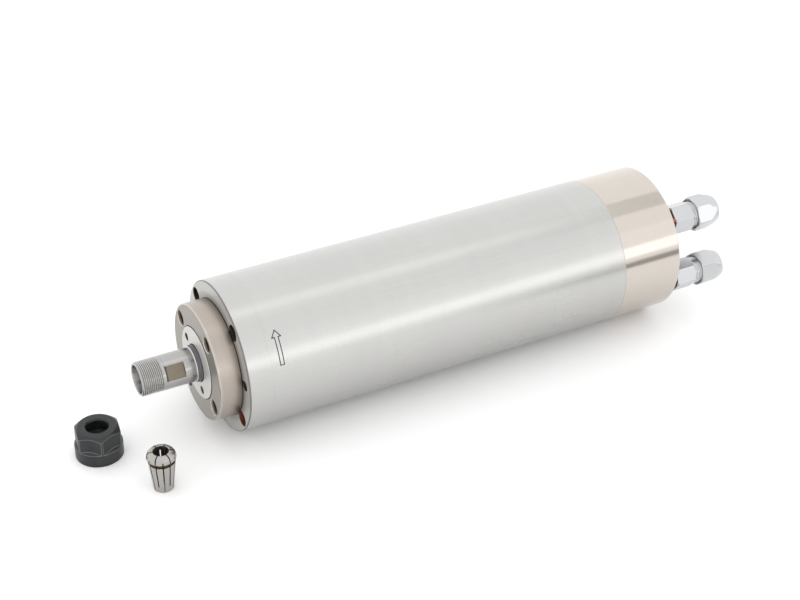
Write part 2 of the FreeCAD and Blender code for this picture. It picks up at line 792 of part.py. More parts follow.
def pin_centres():
    """Centres of the contact pins, measured from the spindle axis."""
    middle = polar(socket_radius, socket_angle)
    return [middle + polar(pin_circle_radius, first_pin_angle + 360.0 * k / pin_count)
            for k in range(pin_count)]


def socket_insert():
    """Insulator that holds the contact pins."""
    front = rear_face - socket_tail - insert_tail
    body = rod(socket_bore / 2 - insert_fit, front, rear_face + insert_front,
               polar(socket_radius, socket_angle))
    return cut_all(body, [rod(pin_diameter / 2, front, rear_face + insert_front, centre)
                          for centre in pin_centres()])


def socket_pins():
    """Contact pins with solder tails."""
    front = rear_face - socket_tail - insert_tail - pin_tail
    return [rod(pin_diameter / 2, front, rear_face + insert_front + pin_reach, centre)
            for centre in pin_centres()]


def rounded_path(points, radius):
    """Straight runs joined by tangent arcs."""
    edges = []
    start = points[0]
    for before, corner, after in zip(points, points[1:], points[2:]):
        back = (before - corner).normalize()
        ahead = (after - corner).normalize()
        half = back.getAngle(ahead) / 2
        reach = radius / math.tan(half)
        enter = corner + back * reach
        leave = corner + ahead * reach
        middle = (back + ahead).normalize()
        top = corner + middle * (radius / math.sin(half) - radius)
        edges.append(Part.LineSegment(start, enter).toShape())
        edges.append(Part.Arc(enter, top, leave).toShape())
        start = leave
    edges.append(Part.LineSegment(start, points[-1]).toShape())
    return Part.Wire(edges)


def phase_leads():
    """Leads from the end turns, through the rear shield, to the solder tails."""
    tails = rear_face - socket_tail - insert_tail - pin_tail
    hole = polar(lead_hole_radius, socket_angle)
    leads = []
    for k, centre in enumerate(pin_centres()):
        place = hole + polar(lead_bundle_radius, first_pin_angle + 360.0 * k / pin_count)
        points = [FreeCAD.Vector(tails, centre.y, centre.z),
                  FreeCAD.Vector(tails - lead_tail_run, centre.y, centre.z),
                  FreeCAD.Vector(rear_shield_rear + lead_hole_run, place.y, place.z),
                  FreeCAD.Vector(stack_rear + end_turn_length, place.y, place.z)]
        path = rounded_path(points, lead_bend_radius)
        disc = Part.Wire(Part.makeCircle(lead_diameter / 2, points[0], AXIS))
        leads.append(path.makePipeShell([disc], True, True))
    return leads


def collet_nut():
    """Nut with a short hexagon under a coned top, its thread opening on the floor."""
    radius = collet_nut_diameter / 2
    top = collet_nut_top_diameter / 2
    body = turned_upright([(0, 0), (radius - collet_nut_edge, 0), (radius, collet_nut_edge),
                           (radius, collet_nut_height - collet_nut_top_drop), (top, collet_nut_height),
                           (0, collet_nut_height)], collet_nut_place)
    low = floor_height + collet_nut_height - collet_nut_flat_depth
    side = 2 * collet_nut_diameter
    for k in range(6):
        block = Part.makeBox(side, collet_nut_diameter, collet_nut_flat_depth + 1,
                             FreeCAD.Vector(-side / 2, collet_nut_flats / 2, low))
        block.rotate(FreeCAD.Vector(0, 0, 0), UP, collet_nut_corner_angle + 60 * k)
        block.translate(FreeCAD.Vector(collet_nut_place[0], collet_nut_place[1], 0))
        body = body.cut(block)
    bore = collet_nut_bore / 2
    thread = nose_thread_mean_diameter / 2 + collet_nut_thread_play
    cone = (thread - bore) / math.tan(math.radians(collet_nut_cone_angle))
    cone_low = collet_nut_thread_length
    groove = collet_nut_groove_width
    hollow = turned_upright([(0, 0), (thread + small_chamfer, 0), (thread, small_chamfer),
                             (thread, cone_low - groove),
                             (thread + collet_nut_groove_depth, cone_low - groove),
                             (thread + collet_nut_groove_depth, cone_low), (thread, cone_low),
                             (bore, cone_low + cone), (bore, collet_nut_height),
                             (0, collet_nut_height)], collet_nut_place)
    return body.cut(hollow)


def collet():
    """Spring collet stood on its narrow end, slotted from both ends."""
    head = collet_head_diameter / 2
    groove_top = collet_length - collet_head_height
    groove_low = groove_top - collet_groove_width
    body = turned_upright([(collet_bore / 2, 0), (collet_base_diameter / 2 - collet_edge, 0),
                           (collet_base_diameter / 2, collet_edge), (collet_body_diameter / 2, groove_low),
                           (collet_groove_diameter / 2, groove_low + collet_edge),
                           (collet_groove_diameter / 2, groove_top), (head, groove_top),
                           (head, groove_top + collet_head_band),
                           (collet_crown_diameter / 2, collet_length - collet_crown_drop),
                           (collet_top_diameter / 2, collet_length - collet_top_drop),
                           (collet_bore / 2, collet_length)], collet_place)
    for k in range(collet_slots_each_way):
        for low, high, half in ((-1.0, collet_length - collet_top_web, 0.0),
                                (collet_base_web, collet_length + 1.0, 0.5)):
            slot = Part.makeBox(collet_head_diameter, collet_slot_width, high - low,
                                FreeCAD.Vector(0, -collet_slot_width / 2, floor_height + low))
            turn = collet_slot_turn + 360.0 * (k + half) / collet_slots_each_way
            slot.rotate(FreeCAD.Vector(0, 0, 0), UP, turn)
            slot.translate(FreeCAD.Vector(collet_place[0], collet_place[1], 0))
            body = body.cut(slot)
    return body


def main():
    """Build every piece and write its file."""
    os.makedirs("parts", exist_ok=True)
    save("front_shield", front_shield())
    save("bearing_cover", bearing_cover())
    save("dust_ring", dust_ring())
    save("jacket_tube", jacket_tube())
    save("water_sleeve", water_sleeve())
    save("sleeve_seals", sleeve_seals())
    save("stator_core", stator_core())
    save("stator_windings", stator_windings())
    save("rear_shield", rear_shield())
    save("rear_cap", rear_cap())
    save("preload_spring", preload_spring())
    save("phase_leads", phase_leads())

    flange_head = flange_counterbore_depth - screw_head_height
    save("flange_screws", screw_circle(flange_screw_radius, flange_screw_angle, flange_head,
                                       tube_front + screw_bite))
    cover_head = cover_counterbore_depth - screw_head_height - cover_height
    save("cover_screws", screw_circle(cover_screw_radius, cover_screw_angle, cover_head,
                                      cover_screw_bite))
    cap_head = rear_face - cap_counterbore_depth + screw_head_height
    save("cap_screws", screw_circle(flange_screw_radius, cap_screw_angle, cap_head,
                                    sleeve_rear - screw_bite))

    inner_rings, outer_rings, ball_sets = [], [], []
    for k in range(front_bearing_count):
        pieces = bearing(front_bearing_bore, front_bearing_outer, front_bearing_width,
                         front_bearing_front + k * front_bearing_width, front_ball_diameter)
        inner_rings.append(pieces[0])
        outer_rings.append(pieces[1])
        ball_sets.append(pieces[2])
    save("front_inner_rings", inner_rings)
    save("front_outer_rings", outer_rings)
    save("front_ball_sets", ball_sets)
    inner, outside, ball_set = bearing(rear_bearing_bore, rear_bearing_outer, rear_bearing_width,
                                       rear_bearing_front, rear_ball_diameter)
    save("rear_inner_ring", inner)
    save("rear_outer_ring", outside)
    save("rear_ball_set", ball_set)

    save("spindle_shaft", spindle_shaft())
    save("labyrinth_collar", labyrinth_collar())
    save("rotor_core", rotor_core())
    save("rotor_end_rings", rotor_end_rings())
    save("shaft_lock_nut", shaft_lock_nut())

    for name in fitting_angles:
        save(name + "_hose_fitting", hose_fitting(name))
        save(name + "_hose_nut", hose_nut(name))
        save(name + "_ferrule", ferrule(name))
    save("fitting_seals", fitting_seals())

    save("socket_shell", socket_shell())
    save("socket_gasket", socket_gasket())
    save("socket_nut", socket_nut())
    save("socket_insert", socket_insert())
    save("socket_pins", socket_pins())

    save("collet_nut", collet_nut())
    save("collet", collet())


main()
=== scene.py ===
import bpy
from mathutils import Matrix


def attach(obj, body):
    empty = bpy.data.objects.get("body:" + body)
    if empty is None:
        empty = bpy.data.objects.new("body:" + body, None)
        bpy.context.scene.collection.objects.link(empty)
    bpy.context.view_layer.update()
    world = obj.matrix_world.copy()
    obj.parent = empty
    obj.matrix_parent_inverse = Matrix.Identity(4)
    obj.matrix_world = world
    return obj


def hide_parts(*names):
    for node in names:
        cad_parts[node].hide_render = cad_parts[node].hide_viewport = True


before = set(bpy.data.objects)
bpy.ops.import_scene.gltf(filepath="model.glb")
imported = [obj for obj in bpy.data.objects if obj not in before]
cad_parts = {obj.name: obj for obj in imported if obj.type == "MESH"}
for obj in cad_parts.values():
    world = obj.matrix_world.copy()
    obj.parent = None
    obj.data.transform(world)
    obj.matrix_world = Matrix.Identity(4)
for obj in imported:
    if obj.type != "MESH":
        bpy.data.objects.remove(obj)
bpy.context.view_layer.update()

import math

import bmesh
import bpy
from mathutils import Matrix, Vector

# Sizes in millimetres, in the part's frame: +X from the nose to the tail, +Z up, the axis at the origin.
# Angles in degrees run round the axis from -Y, the side that faces the viewer, towards +Z.
# MM is a millimetre in the metres of the scene.
MM = 0.001
BARREL = 31.0
FLANGE_REAR = 10.0
TUBE_REAR = 171.4
REAR_FACE = 199.0
FLOOR = -31.0
FRONT_SEAM = 0.04
REAR_SEAM = 0.14
COVER_FRONT = -9.3
COVER_RADIUS = 23.9
COVER_EASING = 0.75
RIM_EASING = 0.5
RING_RADIUS = 14.8
RING_FRONT = -9.7
RING_REAR = -4.45
RING_BORE = 7.8
SCREW_CIRCLE = 26.7
COVER_SCREW_CIRCLE = 19.475
FLANGE_SCREW_ANGLE = 52.5
COVER_SCREW_ANGLE = 53.5
CAP_SCREW_ANGLE = 12.5
HEAD_HOLE = 3.25
SHANK_HOLE = 1.7
JACK_CIRCLE = 25.95
JACK_ANGLES = (5.5, 185.5)
JACK_HOLE = 2.0
TIP = -34.3
SHAFT = 7.0
THREAD_END = -25.1
THREAD_ROOT = 6.7
NOSE_PITCH = 0.75
FLATS = (-24.4, -16.5)
FLAT_DEPTH = 6.2
FLAT_ANGLE = 27.0
COLLAR_FRONT = -12.1
FITTING_CIRCLE = 25.0
FITTING_STEM = 3.9
HEX_FRONT = 199.8
HEX_REAR = 209.4
FITTINGS = {
    "upper": {"angle": 43.5, "hex_turn": 22.0, "nut_turn": -5.0, "gap": 1.8},
    "lower": {"angle": -18.5, "hex_turn": -8.0, "nut_turn": 44.0, "gap": 3.0},
}
SOCKET_PLACE = (9.5, 192.5)
NUT_PLACE = (-51.5, 2.0)
NUT_EDGE = 8.0
COLLET_PLACE = (-36.6, -28.9)

# Faces round a full turn; the least step between stations; how far past a hole its finish reaches.
FINE = 256
MEDIUM = 128
SMALL = 48
HAIR = 0.02
MARGIN = 0.15

# Camera solved from the outlines of the barrel, the boss, the nose and the loose pieces; place in metres.
VIEW_PLACE = (-0.1944, -0.5185, 0.3972)
VIEW_ANGLES = (62.065, 33.952, 0.514)
VIEW_LENS = 77.3

# Old oil in the line where two pieces meet, and painted shade in the roots of the thread.
JOINT_DARK = (0.016, 0.014, 0.012)
ROOT_SHADE = (0.085, 0.08, 0.072)


def polar(radius, angle):
    """Y and Z of a point at a radius and an angle round the axis."""
    turn = math.radians(angle)
    return -radius * math.cos(turn), radius * math.sin(turn)


def four_places(radius, angle):
    """Middles of four screws a quarter turn apart."""
    return [polar(radius, angle + 90 * k) for k in range(4)]


# Outlines, solids of revolution and cuts

def rounded(start, corner, end, steps):
    """Points of the curve that leaves start towards a corner and comes to end from it."""
    curve = []
    for k in range(steps + 1):
        t = k / steps
        curve.append(start * (1 - t) ** 2 + corner * 2 * t * (1 - t) + end * t ** 2)
    return curve


def eased(corners, steps=3):
    """Outline of (x, radius) corners; a third number rounds that corner over that length."""
    points = []
    for before, corner, after in zip(corners[-1:] + corners[:-1], corners, corners[1:] + corners[:1]):
        here = Vector(corner[:2])
        if len(corner) < 3:
            points.append(tuple(here))
            continue
        start = here + (Vector(before[:2]) - here).normalized() * corner[2]
        end = here + (Vector(after[:2]) - here).normalized() * corner[2]
        points += [tuple(point) for point in rounded(start, here, end, steps)]
    return points


def even_angles(count):
    """Evenly spaced angles round a full turn."""
    return [360.0 * k / count for k in range(count)]


def turned(profile, count=MEDIUM, centre=(0.0, 0.0), form=None, angles=None):
    """Closed outline of (x, radius) points turned about a line along X; form may change each radius."""
    angles = angles or even_angles(count)
    solid = bmesh.new()
    rings = []
    for x, radius in profile:
        if radius <= 1e-6:
            rings.append([solid.verts.new((x, centre[0], centre[1]))])
            continue
        ring = []
        for angle in angles:
            reach = form(x, radius, angle) if form else radius
            y, z = polar(reach, angle)
            ring.append(solid.verts.new((x, centre[0] + y, centre[1] + z)))
        rings.append(ring)
    for one, two in zip(rings, rings[1:] + rings[:1]):
        if len(one) == 1 and len(two) == 1:
            continue
        for k in range(len(angles)):
            m = (k + 1) % len(angles)
            corners = [one[k % len(one)], one[m % len(one)], two[m % len(two)], two[k % len(two)]]
            solid.faces.new(list(dict.fromkeys(corners)))
    bmesh.ops.recalc_face_normals(solid, faces=solid.faces)
    return solid


def prism(flats, start, end, centre, corner_angle, easing):
    """Hexagonal bar along X with rounded corners."""
    reach = flats / math.sqrt(3)
    outline = []
    for k in range(6):
        before, here, after = [Vector(polar(reach, corner_angle + 60 * (k + side))) for side in (-1, 0, 1)]
        one = here + (before - here).normalized() * easing
        two = here + (after - here).normalized() * easing
        outline += rounded(one, here, two, 3)
    solid = bmesh.new()
    ends = [[solid.verts.new((x, centre[0] + p[0], centre[1] + p[1])) for p in outline]
            for x in (start, end)]
    solid.faces.new(ends[0])
    solid.faces.new(ends[1])
    for k in range(len(outline)):
        m = (k + 1) % len(outline)
        solid.faces.new([ends[0][k], ends[0][m], ends[1][m], ends[1][k]])
    bmesh.ops.recalc_face_normals(solid, faces=solid.faces)
    return solid


def bar(low, high, angle=0.0):
    """Box between two corners, turned about X."""
    solid = bmesh.new()
    bmesh.ops.create_cube(solid, size=1.0)
    for vert in solid.verts:
        vert.co = Vector([(a + b) / 2 + v * (b - a) for a, b, v in zip(low, high, vert.co)])
    bmesh.ops.rotate(solid, matrix=Matrix.Rotation(math.radians(-angle), 3, "X"), verts=solid.verts)
    return solid


def together(solids):
    """One mesh of several separate solids."""
    whole = bmesh.new()
    for solid in solids:
        mesh = bpy.data.meshes.new("part")
        solid.to_mesh(mesh)
        whole.from_mesh(mesh)
        bpy.data.meshes.remove(mesh)
    return whole


def added(name, data):
    """New object of the scene, for a mesh, a lamp or a lens."""
    thing = bpy.data.objects.new(name, data)
    bpy.context.scene.collection.objects.link(thing)
    return thing


def placed(solid, name):
    """Object that holds a solid."""
    mesh = bpy.data.meshes.new(name)
    solid.to_mesh(mesh)
    return added(name, mesh)


def evaluated(thing):
    """Mesh of an object with its modifiers applied."""
    graph = bpy.context.evaluated_depsgraph_get()
    return bpy.data.meshes.new_from_object(thing.evaluated_get(graph))


def combined(solid, other, operation="DIFFERENCE"):
    """Exact boolean of two solids."""
    one = placed(solid, "one")
    two = placed(other, "two")
    change = one.modifiers.new("cut", "BOOLEAN")
    change.operation = operation
    change.solver = "EXACT"
    change.object = two
    mesh = evaluated(one)
    result = bmesh.new()
    result.from_mesh(mesh)
    for thing in (one, two):
        old = thing.data
        bpy.data.objects.remove(thing)
        bpy.data.meshes.remove(old)
    bpy.data.meshes.remove(mesh)
    return result


def hole(mouth, way, radius, depth, centre, easing=0.2, through=None, count=SMALL):
    """Cutter for a round hole with an eased mouth; through is the radius and depth of a narrower one."""
    out = mouth - way * 0.5
    bottom = mouth + way * depth
    outline = [(out, 0.0), (out, radius + easing + 0.5), (mouth + way * easing, radius), (bottom, radius)]
    if through:
        narrow, end = through[0], mouth + way * through[1]
        outline += [(bottom, narrow), (end, narrow), (end, 0.0)]
    else:
        outline.append((bottom, 0.0))
    return turned(outline, count, centre)


def stood(solid, place):
    """Solid made along X, stood up on the floor."""
    up = Matrix(((0, 0, -1, place[0]), (0, 1, 0, place[1]), (1, 0, 0, FLOOR), (0, 0, 0, 1)))
    bmesh.ops.transform(solid, matrix=up, verts=solid.verts)
    return solid


def stretch(start, end, step):
    """Evenly spaced stations from start to end."""
    count = max(1, round(abs(end - start) / step))
    return [start + (end - start) * k / count for k in range(count + 1)]


def helix(pitch, crest, root, first, last, fade):
    """Radius of a right-hand thread between two stations, fading out at both ends."""
    def form(x, radius, angle):
        if not first <= x <= last or radius < root - HAIR:
            return radius
        flank = 0.5 + 0.5 * math.cos(math.tau * (x / pitch + angle / 360.0))
        depth = (crest - root) * min(1.0, (x - first) / fade, (last - x) / fade)
        return min(radius, crest - depth * (1 - flank))
    return form


# Finishes

class Wire:
    """A value that changes over a surface; arithmetic on it adds Math nodes."""

    def __init__(self, finish, socket):
        self.finish = finish
        self.socket = socket

    def maths(self, operation, *others):
        values = dict(enumerate((self, *others)))
        return self.finish.node("ShaderNodeMath", {"operation": operation}, values)

    def __add__(self, other):
        return self.maths("ADD", other)

    def __sub__(self, other):
        return self.maths("SUBTRACT", other)

    def __rsub__(self, other):
        return self.finish.node("ShaderNodeMath", {"operation": "SUBTRACT"}, {0: other, 1: self})

    def __mul__(self, other):
        return self.maths("MULTIPLY", other)

    def __truediv__(self, other):
        return self.maths("DIVIDE", other)

    def above(self, edge, soft):
        """0 below the edge, 1 above it, with a soft step between."""
        return self.finish.node("ShaderNodeMapRange", {"interpolation_type": "SMOOTHSTEP"},
                                {0: self, 1: edge - soft, 2: edge + soft, 3: 0.0, 4: 1.0})


def swing(level, *parts):
    """A level, moved by the swing of each value about its middle, times its weight."""
    for value, weight in parts:
        level = (value - 0.5) * weight + level
    return level


class Finish:
    """One procedural material with a single shader."""

    def __init__(self, name):
        self.material = bpy.data.materials.new(name)
        self.material.use_nodes = True
        self.tree = self.material.node_tree
        self.tree.nodes.clear()
        self.place = self.node("ShaderNodeTexCoord", {}, {}, "Object")

    def node(self, kind, settings, values, output=0):
        """Adds a node, sets it up, feeds its sockets and gives one output."""
        node = self.tree.nodes.new(kind)
        for key, value in settings.items():
            setattr(node, key, value)
        for key, value in values.items():
            socket = node.inputs[key]
            if isinstance(value, Wire):
                self.tree.links.new(value.socket, socket)
            elif isinstance(value, tuple) and socket.type == "RGBA":
                socket.default_value = (*value, 1.0)
            else:
                socket.default_value = value
        return Wire(self, node.outputs[output]) if node.outputs else None

    def axes(self, origin=(0.0, 0.0, 0.0)):
        """X, Y and Z from an origin, in millimetres."""
        moved = self.node("ShaderNodeVectorMath", {"operation": "SUBTRACT"},
                          {0: self.place, 1: tuple(value * MM for value in origin)})
        return [self.node("ShaderNodeSeparateXYZ", {}, {0: moved}, axis) / MM for axis in "XYZ"]

    def split(self):
        """X and the distance from the axis in millimetres, and the turn about the axis from 0 to 1."""
        x, y, z = self.axes()
        away = (y * y + z * z).maths("SQRT")
        turn = z.maths("ARCTAN2", y) / math.tau + 0.5
        return x, away, turn

    def noise(self, x, y, z, scale, detail=2.0, rough=0.5):
        """Noise over three values that are in millimetres, or lone positions."""
        where = self.node("ShaderNodeCombineXYZ", {}, {0: x, 1: y, 2: z})
        return self.cloud(scale, detail, rough, where)

    def rings(self, x, away, turn, scale=2.6):
        """Noise drawn out into fine rings round the axis."""
        return self.noise(x, away, turn * 0.6, scale, 3.0, 0.65)

    def cloud(self, scale, detail=3.0, rough=0.55, where=None):
        """Plain noise; the scale is per metre, unless where is in millimetres."""
        values = {"Vector": where or self.place, "Scale": scale, "Detail": detail, "Roughness": rough}
        return self.node("ShaderNodeTexNoise", {"noise_dimensions": "3D"}, values, "Fac")

    def shade(self, amount, low, high):
        """Colour between two by a value from 0 to 1."""
        return self.node("ShaderNodeMix", {"data_type": "RGBA"}, {0: amount, 6: low, 7: high}, 2)

    def bump(self, height, strength, reach):
        """Normal of small relief; reach is its depth in millimetres."""
        return self.node("ShaderNodeBump", {},
                         {"Height": height, "Strength": strength, "Distance": reach * MM}, "Normal")

    def done(self, colour, roughness, normal=None, metallic=1.0, **fixed):
        """Closes the material with its shader; fixed holds further sockets by name."""
        values = {"Base Color": colour, "Roughness": roughness, "Metallic": metallic}
        if normal:
            values["Normal"] = normal
        values.update({key.replace("_", " "): value for key, value in fixed.items()})
        shader = self.node("ShaderNodeBsdfPrincipled", {}, values)
        self.node("ShaderNodeOutputMaterial", {}, {"Surface": shader})
        return self.material


def turned_metal(name, colour, worn, roughness, marks=0.5, depth=0.004, smudge=0.04, metallic=1.0):
    """Metal with the fine rings that a cutting tool or a grinding wheel leaves round the axis."""
    finish = Finish(name)
    x, away, turn = finish.split()
    rings = finish.rings(x, away, turn)
    broad = finish.noise(x, away, turn * 2.0, 0.22, 2.0)
    cloud = finish.cloud(60.0)
    tone = finish.shade(swing(0.5, (rings, marks), (broad, 0.5), (cloud, 0.5)), worn, colour)
    rough = swing(roughness, (rings, marks * 0.12), (cloud, smudge * 2))
    return finish.done(tone, rough, finish.bump(rings, 0.5, depth), metallic=metallic)


def ground_tube():
    """Stainless tube, ground round the barrel, with faint handling marks."""
    finish = Finish("tube_stainless")
    x, away, turn = finish.split()
    fine = finish.noise(x, away, turn * 3.0, 3.2, 3.0, 0.7)
    bands = finish.noise(x, away, turn * 1.5, 0.16, 2.0)
    drawn = finish.noise(x * 0.02, turn * 195.0, 0.0, 0.9, 3.0, 0.6)
    cloud = finish.cloud(38.0)
    amount = swing(0.5, (fine, 0.35), (bands, 0.5), (drawn, 0.5), (cloud, 0.35))
    tone = finish.shade(amount, (0.474, 0.472, 0.46), (0.53, 0.526, 0.514))
    rough = swing(0.26, (fine, 0.06), (cloud, 0.06), (drawn, 0.05))
    return finish.done(tone, rough, finish.bump(fine * 0.6 + drawn * 0.4, 0.35, 0.004))


def plating(name, colour, roughness):
    """Bright plating over a cast or machined surface, with soft waves and a few duller patches."""
    finish = Finish(name)
    waves = finish.cloud(420.0, 2.0)
    dull = finish.cloud(150.0)
    tone = finish.shade(dull, tuple(c * 0.93 for c in colour), colour)
    return finish.done(tone, swing(roughness, (dull, 0.08)), finish.bump(waves, 0.4, 0.003))


def flange_face():
    """Turned face of the flange, with painted shade and reflection round the boss, and a dark line where
    they meet.
    """
    finish = Finish("flange_face")
    x, away, turn = finish.split()
    rings = finish.rings(x, away, turn, 3.2)
    cloud = finish.cloud(90.0)
    spots = finish.cloud(420.0, 4.0, 0.65)
    tone = finish.shade(swing(0.5, (rings, 0.7), (cloud, 0.6)), (0.44, 0.43, 0.416), (0.53, 0.52, 0.505))
    # Painted shade and reflection of the boss: darker nearer the boss.
    boss_shade = (1 - swing(away, (spots, 1.4)).above(26.2, 1.2)) * 0.35
    tone = finish.shade(boss_shade, tone, (0.1, 0.082, 0.06))
    tone = finish.shade((1 - away.above(COVER_RADIUS + 0.25, 0.08)) * 0.9, tone, JOINT_DARK)
    rough = swing(0.42, (rings, 0.08)) + boss_shade * 0.1
    return finish.done(tone, rough, finish.bump(rings, 0.5, 0.03), metallic=0.6)


def boss_side():
    """Satin side of the boss, speckled, with painted olive shade towards the flange, and a dark line at it.
    """
    finish = Finish("satin_nickel")
    x, away, turn = finish.split()
    rings = finish.rings(x, away, turn)
    cloud = finish.cloud(70.0)
    speckle = finish.cloud(1500.0, 3.0, 0.7)
    tone = finish.shade(swing(0.5, (rings, 0.5), (cloud, 0.5), (speckle, 0.7)),
                        (0.35, 0.308, 0.27), (0.47, 0.42, 0.38))
    # Painted shade: darker and olive towards the corner at the flange.
    corner_shade = swing(x, (cloud, 2.0), (speckle, 0.8)).above(-2.0, 2.2) * 0.55
    tone = finish.shade(corner_shade, tone, (0.165, 0.142, 0.098))
    tone = finish.shade(x.above(-0.3, 0.08) * 0.9, tone, JOINT_DARK)
    return finish.done(tone, swing(0.36, (cloud, 0.1)), finish.bump(speckle, 0.5, 0.01))


def counterbore():
    """Wall of a screw hole in the boss: bright at the mouth, with painted brown shade deeper down."""
    finish = Finish("bored_wall")
    x = finish.axes()[0]
    spots = finish.cloud(700.0)
    # Painted shade: darker deeper in the hole.
    deep = swing(x, (spots, 0.8)).above(COVER_FRONT + 0.9, 0.45)
    tone = finish.shade(deep, (0.64, 0.57, 0.51), (0.115, 0.072, 0.055))
    return finish.done(tone, swing(0.36, (spots, 0.1)), finish.bump(spots, 0.3, 0.01), metallic=0.6)


def milled_flat():
    """Milled flat: brownish, with painted shade and reflection of the end wall at its end under the thread.
    """
    finish = Finish("milled_flat")
    x = finish.axes()[0]
    grain = finish.cloud(900.0)
    tone = finish.shade(grain, (0.165, 0.142, 0.108), (0.235, 0.208, 0.165))
    # Painted shade and reflection: darker along the end under the thread.
    tone = finish.shade((1 - x.above(FLATS[0] + 0.75, 0.35)) * 0.75, tone, (0.03, 0.026, 0.022))
    return finish.done(tone, swing(0.45, (grain, 0.12)), finish.bump(grain, 0.4, 0.01))


def nose_thread():
    """Bright thread with painted shade in its roots."""
    finish = Finish("nose_thread")
    away = finish.split()[1]
    grain = finish.cloud(700.0)
    tone = finish.shade(grain, (0.4, 0.395, 0.385), (0.56, 0.553, 0.54))
    # Painted shade: darker in the roots of the thread.
    tone = finish.shade((1 - away.above(THREAD_ROOT + 0.14, 0.1)) * 0.5, tone, ROOT_SHADE)
    return finish.done(tone, swing(0.22, (grain, 0.1)), finish.bump(grain, 0.3, 0.004))


def oxide_black():
    """Black oxide over machined steel, with a slight bluish tone and rubbed places."""
    finish = Finish("oxide_black")
    grain = finish.cloud(2600.0, 3.0, 0.7)
    patch = finish.cloud(170.0, 4.0)
    amount = swing(0.5, (grain, 0.9), (patch, 0.9))
    tone = finish.shade(amount, (0.022, 0.024, 0.025), (0.062, 0.066, 0.067))
    return finish.done(tone, swing(0.42, (patch, 0.2), (grain, 0.2)), finish.bump(grain, 0.45, 0.02),
                       metallic=0.75)


def plain(name, low, high, roughness, metallic=0.0, scale=900.0, relief=0.01, swings=0.12):
    """Rubber, moulded plastic, paint, rust, a wall darkened as painted shade, or a rubbed edge lightened
    partly as a painted highlight, with a light grain.
    """
    finish = Finish(name)
    grain = finish.cloud(scale)
    return finish.done(finish.shade(grain, low, high), swing(roughness, (grain, swings)),
                       finish.bump(grain, 0.4, relief), metallic=metallic)


def laminated():
    """Thin sheets stacked along X."""
    finish = Finish("stacked_sheets")
    x = finish.axes()[0]
    line = (x / 0.5).maths("FRACT").above(0.8, 0.15)
    cloud = finish.cloud(300.0)
    tone = finish.shade(line * 0.7 + (cloud - 0.5) * 0.4, (0.36, 0.36, 0.37), (0.12, 0.12, 0.13))
    return finish.done(tone, cloud * 0.2 + 0.35, finish.bump(line, 0.5, 0.03))


def wound_copper():
    """Varnished turns of round wire, laced round the end turns."""
    finish = Finish("wound_copper")
    x, away, turn = finish.split()
    where = finish.node("ShaderNodeCombineXYZ", {}, {0: away * 1.2 + turn * 90.0, 1: x, 2: 0.0})
    strand = finish.node("ShaderNodeTexWave", {"wave_type": "BANDS", "bands_direction": "X"},
                         {"Vector": where, "Scale": 1.1, "Distortion": 1.5, "Detail": 2.0}, "Fac")
    tone = finish.shade(strand, (0.3, 0.075, 0.02), (0.62, 0.23, 0.07))
    return finish.done(tone, strand * 0.15 + 0.28, finish.bump(strand, 0.6, 0.15), metallic=0.6,
                       Coat_Weight=0.5)


def spring_steel():
    """Ground spring steel of the collet: brown in the groove, painted shade in the bore, with fine rings.
    """
    finish = Finish("collet_steel")
    x, y, z = finish.axes((*COLLET_PLACE, FLOOR))
    away = (x * x + y * y).maths("SQRT")
    rings = finish.noise(z, away, 0.0, 2.8, 3.0, 0.7)
    cloud = finish.cloud(330.0)
    groove = z.above(12.75, 0.06) * (1 - z.above(14.58, 0.06)) * (1 - away.above(5.1, 0.1))
    # Painted shade: darker inside the bore.
    bore = 1 - away.above(3.12, 0.06)
    bright = finish.shade(swing(0.5, (rings, 0.5), (cloud, 0.6)), (0.34, 0.322, 0.305), (0.46, 0.44, 0.42))
    stained = finish.shade(cloud, (0.085, 0.062, 0.032), (0.16, 0.122, 0.068))
    tone = finish.shade(groove, bright, stained)
    tone = finish.shade(bore * 0.75, tone, (0.06, 0.055, 0.05))
    return finish.done(tone, swing(0.24, (cloud, 0.12)) + groove * 0.2, finish.bump(rings, 0.5, 0.006))


